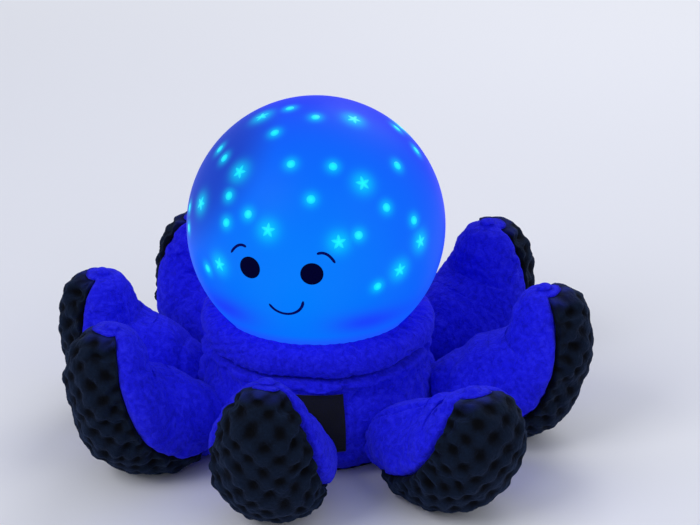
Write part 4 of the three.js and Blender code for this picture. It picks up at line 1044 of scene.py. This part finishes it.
class Limb:
    """The middle line, section sizes and swelling of a tentacle, made pointing along -Y and then turned."""

    def __init__(self, index, azimuth, height_share, reach_share, twist_deg):
        self.index, self.azimuth, self.twist = index, azimuth, math.radians(twist_deg)
        half = THICK / 2
        rise = TENTACLE_H * height_share - half
        places, sizes = [], []
        for along, rest, up, lift, thick, wide in STATIONS:
            height = rest * half + up * rise + lift * ROOT_LIFT - FLOOR_SINK
            places.append((BODY_R + REACH * reach_share * along, height, 0))
            sizes.append((thick * THICK / 2, wide * WIDE / 2, 0))
        self.line, self.sizes = Curve(places), Curve(sizes)
        self.shares = np.linspace(0, 1, 1200)
        self.lengths = run_length(self.line.at(self.shares))
        self.moves = np.zeros((LIMB_ROWS, LIMB_COLUMNS, 3))

    def spaced(self, low, high, count):
        """Shares between two shares, evenly far apart along the middle line."""
        ends = np.interp([low, high], self.shares, self.lengths)
        return np.interp(np.linspace(*ends, count), self.lengths, self.shares)

    def surface(self, share, angle):
        """Points at shares of the line and angles from its upper side, and the ways out of them."""
        place, ahead, size = self.line.at(share), self.line.tangent(share), self.sizes.at(share)
        c, s = np.cos(angle + self.twist), np.sin(angle + self.twist)
        thick, wide = size[..., 0], size[..., 1]
        n_up, n_side = c / thick, s / wide
        length = np.hypot(n_up, n_side)
        n_up, n_side = n_up / length, n_side / length
        up, aside = thick * c, wide * s
        out, high = up * ahead[..., 1] - place[..., 0], place[..., 1] + up * ahead[..., 0]
        outward = np.stack([n_side, n_up * ahead[..., 1], n_up * ahead[..., 0]], -1)
        return np.stack([aside, out, high], -1), outward

    def past_seam(self, share, angle):
        """Radians past the nearer side seam, above zero on the sole's side.

        The seams draw in below the limb towards its root.
        """
        seam = SEAM + SEAM_DRAWN_IN[self.index] * (1 - ease(share, 0.15, 0.62))
        return np.minimum(angle, TURN - angle) - seam

    def pinch(self, share, angle):
        """Inset of the skin before it swells: deepest along the side seams."""
        size = self.sizes.at(share)[..., 1]
        along = band(share, 0.1, 0.2, 0.95, 1)
        root = 1 - ease(share, 0.0, 0.1)
        return (1 - root) * (0.25 + 1.3 * groove(self.past_seam(share, angle) * size, 3.0) * along)

    def settle(self, points):
        """Turns the pile's points to the limb's place, out of the body and up from the floor."""
        return rest_on_floor(seat_on_body(turned(points, self.azimuth), PILE_GAP), PILE_REST)

    def coarse(self):
        share = self.spaced(0, 1, LIMB_ROWS)
        S, A = np.meshgrid(share, circle(LIMB_COLUMNS), indexing="ij")
        points, outward = self.surface(S, A)
        points = self.settle(points - outward * self.pinch(S, A)[..., None])
        hold = np.zeros(S.shape)
        hold[S < 0.05] = 1
        hold[-1] = 1
        seam = np.abs(self.past_seam(S, A)) < math.pi / LIMB_COLUMNS
        hold[seam & (S > SOLE_START) & (S < SOLE_END)] = 1
        hold[(points[..., 2] < 2.2) & (hold == 0)] = 0.5
        return points, hold

    def swelling(self, share, angle):
        """Moves of the skin at increasing shares and increasing angles, from the simulated coarse skin."""
        run = np.interp(share, self.shares, self.lengths)
        rows = np.interp(run, np.linspace(0, self.lengths[-1], LIMB_ROWS), np.arange(LIMB_ROWS))
        return field_at(self.moves, rows, angle * LIMB_COLUMNS / TURN)

    def tip(self, angle):
        """Rings of the small gathered knob at the tip."""
        end = np.array([1.0])
        ahead, place, size = (find(end)[0] for find in (self.line.tangent, self.line.at, self.sizes.at))
        c, s = np.cos(angle + self.twist), np.sin(angle + self.twist)
        knob = []
        for step in np.linspace(0.15, 1, 8):
            bulge = math.sin(step * math.pi)
            shrink = math.cos(step * math.pi / 2 * 0.97) * (1 + 0.12 * bulge)
            wave = 1 + 0.05 * np.cos(3 * angle + self.index) * bulge
            x, z, _ = place + ahead * math.sin(step * math.pi / 2) * size[0] * 0.55
            up, aside = size[0] * c * shrink * wave, size[1] * s * shrink * wave
            knob.append(np.stack([aside, up * ahead[1] - x, z + up * ahead[0]], -1))
        return np.stack(knob)


def make_tentacle(limb):
    k = limb.index
    rings, sides = (168, 144) if FULL else (84, 72)
    share, angle = limb.spaced(0, 1, rings), circle(sides)
    S, A = np.meshgrid(share, angle, indexing="ij")
    points, outward = limb.surface(S, A)
    world = turned(points, limb.azimuth)
    run = np.interp(S, limb.shares, limb.lengths)
    size = limb.sizes.at(S)[..., 1]
    past = limb.past_seam(S, A)
    along = band(S, SOLE_START - 0.02, SOLE_START + 0.005, SOLE_END - 0.012, SOLE_END + 0.008)
    under = ease(past, -0.01, 0.05) * along
    free = 1 - under
    apart = -past * size
    push = -PILE_UNDER_SOLE * under - limb.pinch(S, A) * FULL
    push -= PILE_INSET[k] * ease(S, 0.15, 0.3) * free

    # The side seams, and the short gathers that run out from them
    seam = band(S, 0.12, 0.2, 0.93, 0.97)
    push -= SEAM_DEPTH * groove(apart, SEAM_WIDE) * seam * free
    gathers = np.sin(run * TURN / GATHER_PERIOD + 1.5 * np.sin(run / 9 + k) + 3 * np.sign(np.sin(A)))
    push += 0.28 * gathers * np.exp(-np.clip(apart - 1, 0, None) / 5) * (apart > 0) * seam
    uneven = 0.6 * ripple(world, 34, 40 + k) + 0.08 * ripple(world, 11, 60 + k)
    push += free * (uneven + 0.09 * ripple(world, FUZZ, 90 + k))

    # A fold where the limb's root lobe meets the part behind it
    fold, way, depth, slant, slant_end, saddle = ROOT_FOLDS[k]
    turn = way * ((A + limb.twist + math.pi) % TURN - math.pi)
    fold_at = fold - slant * ease(turn, 0.0, slant_end) + 0.02 * np.sin(turn * 2 + k)
    reach = ease(np.cos(turn - 0.75), -0.25, 0.65) * free
    push -= depth * groove(S - fold_at, 0.02) * reach
    beside = groove(S - fold_at - 0.06, 0.045) + 0.6 * groove(S - fold_at + 0.06, 0.045)
    push += 0.75 * depth * beside * reach

    # Gathers where the limb bends up, and a soft line along one edge of its upper side
    upper = np.clip(np.cos(A + limb.twist), 0, 1)
    push -= saddle * groove(S - fold + 0.02, 0.14) * upper
    waves = 0.5 + 0.5 * np.sin(S * 70 + 2 * np.sin(2 * A) + k)
    push -= 0.18 * groove(S - 0.52, 0.12) * upper**2 * waves
    off_line = (turn - 0.95 - 0.25 * np.sin(S * 6 + k)) * size
    push -= 0.4 * groove(off_line, 2.2) * band(S, 0.4, 0.5, 0.78, 0.9)

    # Round the tip the cloth laps over the end of the sole with a soft, uneven edge.
    lobes = 0.5 + 0.25 * np.cos(A * 3 + 2.3 * k) + 0.25 * np.cos(A * 5 + 1.1 * k)
    push += (0.7 + 0.8 * lobes) * groove(S - SOLE_END - 0.014, 0.022)
    points = points + outward * push[..., None]
    if FULL:
        points += limb.swelling(share, angle)
    obj = tube(f"tentacle_{k + 1}_plush", limb.settle(np.concatenate([points, limb.tip(angle)])), flip=True)
    obj.data.materials.append(plush)
    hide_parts(f"tentacle_{k + 1}")
    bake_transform(obj)
    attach(obj, "plush")


def make_sole(limb):
    """The dotted cloth under a tentacle: soft bumps in slanting rows, with painted shade in the pits between
    them.
    """
    k = limb.index
    rows, columns = (216, 150) if FULL else (108, 74)
    share = limb.spaced(SOLE_START, SOLE_END, rows)
    S = np.repeat(share[:, None], columns, 1)
    half_angle = -limb.past_seam(S, 0 * S)
    inside_seam = 0.015
    A = math.pi + (math.pi - half_angle - inside_seam) * np.linspace(-1, 1, columns)
    flat, outward = limb.surface(S, A)
    world = turned(flat, limb.azimuth)
    steps = np.linalg.norm(np.diff(flat, axis=1), axis=-1)
    across = np.concatenate([np.zeros((rows, 1)), np.cumsum(steps, axis=1)], 1)
    edge_side = np.minimum(across, across[:, -1:] - across)
    across -= across[:, columns // 2][:, None]
    along = run_length(flat[:, columns // 2])[:, None]
    edge_end = np.minimum(along, along[-1] - along) + 0 * across
    edge = np.minimum(edge_side, edge_end)
    u = TURN * ((along + 0.7 * ripple(world, 26, 110 + k)) / BUMP_PERIOD + 0.13 * k)
    v = TURN * (across + 0.7 * ripple(world, 26, 120 + k)) / BUMP_PERIOD
    rise = 1 - (0.5 - 0.5 * np.cos(u) * np.cos(v)) ** 1.9
    # Along the border the cloth is gathered into a row of small bumps.
    border = 0.6 * groove(edge - 3.0, 2.0) * ease(edge, 0.4, 2.0)
    row = 0.5 + 0.5 * np.cos(np.where(edge_side < edge_end, along, across) * TURN / BORDER_PERIOD + k)
    rise = rise * (1 - border) + border * (0.35 + 0.65 * row)
    fade = ease(edge, 0.0, 1.6)
    lumps = 0.9 + 0.12 * ripple(world, 13, 130 + k)
    push = SOLE_PROUD[k] + BUMP_HEIGHT * rise * (0.25 + 0.75 * fade) * lumps - 1.5 * (2 - fade)
    push += 0.3 * ripple(world, 24, 80 + k) + 0.07 * ripple(world, FUZZ, 100 + k)
    push -= limb.pinch(S, A) * 0.4 * FULL
    points = flat + outward * push[..., None]
    if FULL:
        points += limb.swelling(share, A)
    points = seat_on_body(rest_on_floor(turned(points, limb.azimuth), SOLE_REST), SOLE_GAP)
    obj = mesh_object(f"tentacle_{k + 1}_sole_cloth", points, grid_faces(rows, columns, flip=True))
    # The rise mask drives the painted shade. It is lowered near the sole's edges, so they are painted darker.
    add_attribute(obj, "rise", np.clip(rise * (0.4 + 0.6 * fade), 0, 1))
    # Painted light: the mask of where the globe's glow is painted, on bump tops near the tip and high above
    # the floor.
    add_attribute(obj, "painted_globe_glow", rise**2 * ease(S, 0.82, 0.93) * (points[..., 2] > 25))
    thicken(obj, SOLE_THICK)
    dress(obj, dotted, f"tentacle_{k + 1}", [f"tentacle_{k + 1}_sole"])


limbs = [Limb(index, *row) for index, row in enumerate(TENTACLES)]
body_cloth, body_hold = coarse_body()
collar_cloth, collar_hold = coarse_collar()
pads = [(body_cloth, False, False, body_hold), (collar_cloth, True, False, collar_hold)]
for limb in limbs:
    cloth, hold = limb.coarse()
    pads.append((cloth, False, True, hold))
moves = swell(pads)
make_body(moves[0])
make_base_panel()
make_collar(moves[1])
make_label()
for limb, moved in zip(limbs, moves[2:]):
    limb.moves = turned(moved, -limb.azimuth)
    make_tentacle(limb)
    make_sole(limb)

# Materials of the solids that stay
for look, names in (
    (window_light, "glow_dome"),
    (lamp_look(), "projector_lamp"),
    (plastic_look("pod_plastic", (36, 62, 196), 0.38, 0.82), "control_bezel"),
    (plastic_look("button_rubber", (206, 216, 240), 0.6, 0.92),
     "button_power button_light button_sound button_volume"),
    (plastic_look("board_green", (24, 96, 50), 0.4), "button_board lamp_board main_board"),
    (plastic_look("housing_plastic", (222, 225, 232), 0.42, 0.94),
     "light_tower chassis_deck housing_cup base_plate battery_door"),
    (plastic_look("dark_plastic", (30, 31, 35), 0.5), "speaker_cone switch_body switch_knob"),
    (plastic_look("cell_sleeve", (52, 58, 66), 0.3), "battery_cell_1 battery_cell_2 battery_cell_3"),
    (plastic_look("foot_rubber", (24, 24, 27), 0.8, 0.75),
     "rubber_foot_1 rubber_foot_2 rubber_foot_3 rubber_foot_4"),
    (steel_look(), "speaker_basket speaker_magnet contact_plate_left contact_plate_right door_screw "
     "housing_screw_1 housing_screw_2 housing_screw_3 housing_screw_4"),
):
    for name in names.split():
        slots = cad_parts[name].data.materials
        slots.clear()
        slots.append(look)

# Floor, light and camera

BACKDROP = (0.8, 0.82, 0.88, 1)
AMBIENT, AMBIENT_STRENGTH = (0.86, 0.9, 1.0, 1), 0.5
# Half the floor's width, its height, and the metres from the middle between which it fades away
FLOOR_HALF, FLOOR_Z = 3000, -0.02
FLOOR_FADE = (0.45, 1.5)
# Place, size and power of each lamp, in metres and watts, and the place they all point at
LAMPS = [
    ("key_lamp", (-0.75, -0.95, 1.15), 0.8, 9.5),
    ("fill_lamp", (1.1, -0.6, 0.7), 1.0, 3.5),
    ("back_lamp", (0.2, 1.1, 1.0), 0.9, 7.0),
]
LIT_PLACE = Vector((0, 0, 0.06))
# Where the photo was taken from: degrees round and up, and metres from the globe's centre
CAMERA_AZIMUTH, CAMERA_RISE, CAMERA_DISTANCE = 15.5, 22.5, 0.831
CAMERA_SENSOR, CAMERA_LENS = 36, 84.857
# Focal length, and how far right and down of the globe's centre the photo's middle lies, in its pixels
FOCAL_PIXELS, RIGHT_PIXELS, DOWN_PIXELS = 1650, 33.4, 37.9


def make_floor():
    corners = [(x * FLOOR_HALF, y * FLOOR_HALF, FLOOR_Z) for x, y in ((-1, -1), (1, -1), (1, 1), (-1, 1))]
    floor = mesh_object("studio_floor", corners, [(0, 1, 2, 3)], smooth=False)
    look = Look("floor_paper", Base_Color=rgb(232, 233, 240), Roughness=0.85, Specular_IOR_Level=0.2)
    # Far from the object the paper takes the backdrop's tone, so that no horizon shows.
    distance = look.vector("LENGTH", look.where)["Value"]
    far = look.times(look.fade(distance, *FLOOR_FADE), look.sight())
    glow = look.add("Emission", Color=BACKDROP, Strength=1.0)
    mixed = look.add("MixShader", {0: far, 1: look.shader.outputs[0], 2: glow.outputs[0]})
    look.join(mixed.outputs[0], look.tree.nodes["Material Output"].inputs["Surface"])
    floor.data.materials.append(look.material)


def make_lights():
    world = bpy.data.worlds.new("studio")
    world.use_nodes = True
    bpy.context.scene.world = world
    sky = Nodes(world.node_tree)
    ambient = sky.tree.nodes["Background"]
    sky.set(ambient, Color=AMBIENT, Strength=AMBIENT_STRENGTH)
    shown = sky.add("Background", Color=BACKDROP, Strength=1.0)
    mixed = sky.add("MixShader", {0: sky.sight(), 1: ambient.outputs[0], 2: shown.outputs[0]})
    sky.join(mixed.outputs[0], sky.tree.nodes["World Output"].inputs["Surface"])
    for name, place, size, power in LAMPS:
        data = bpy.data.lights.new(name, "AREA")
        data.size = size
        data.energy = power
        lamp = add_object(name, data)
        lamp.location = place
        lamp.rotation_euler = (LIT_PLACE - Vector(place)).to_track_quat("-Z", "Y").to_euler()


def make_camera():
    a, e = math.radians(CAMERA_AZIMUTH), math.radians(CAMERA_RISE)
    back = Vector((math.sin(a) * math.cos(e), -math.cos(a) * math.cos(e), math.sin(e)))
    right = Vector((math.cos(a), math.sin(a), 0))
    up = right.cross(-back)
    data = bpy.data.cameras.new("camera")
    data.sensor_width = CAMERA_SENSOR
    data.lens = CAMERA_LENS
    camera = add_object("camera", data)
    camera.location = Vector(CENTRE * MM) + CAMERA_DISTANCE * back
    forward = -back + right * (RIGHT_PIXELS / FOCAL_PIXELS) - up * (DOWN_PIXELS / FOCAL_PIXELS)
    camera.rotation_euler = forward.to_track_quat("-Z", "Y").to_euler()
    bpy.context.scene.camera = camera


make_floor()
make_lights()
make_camera()
bpy.context.scene.view_settings.view_transform = "Standard"
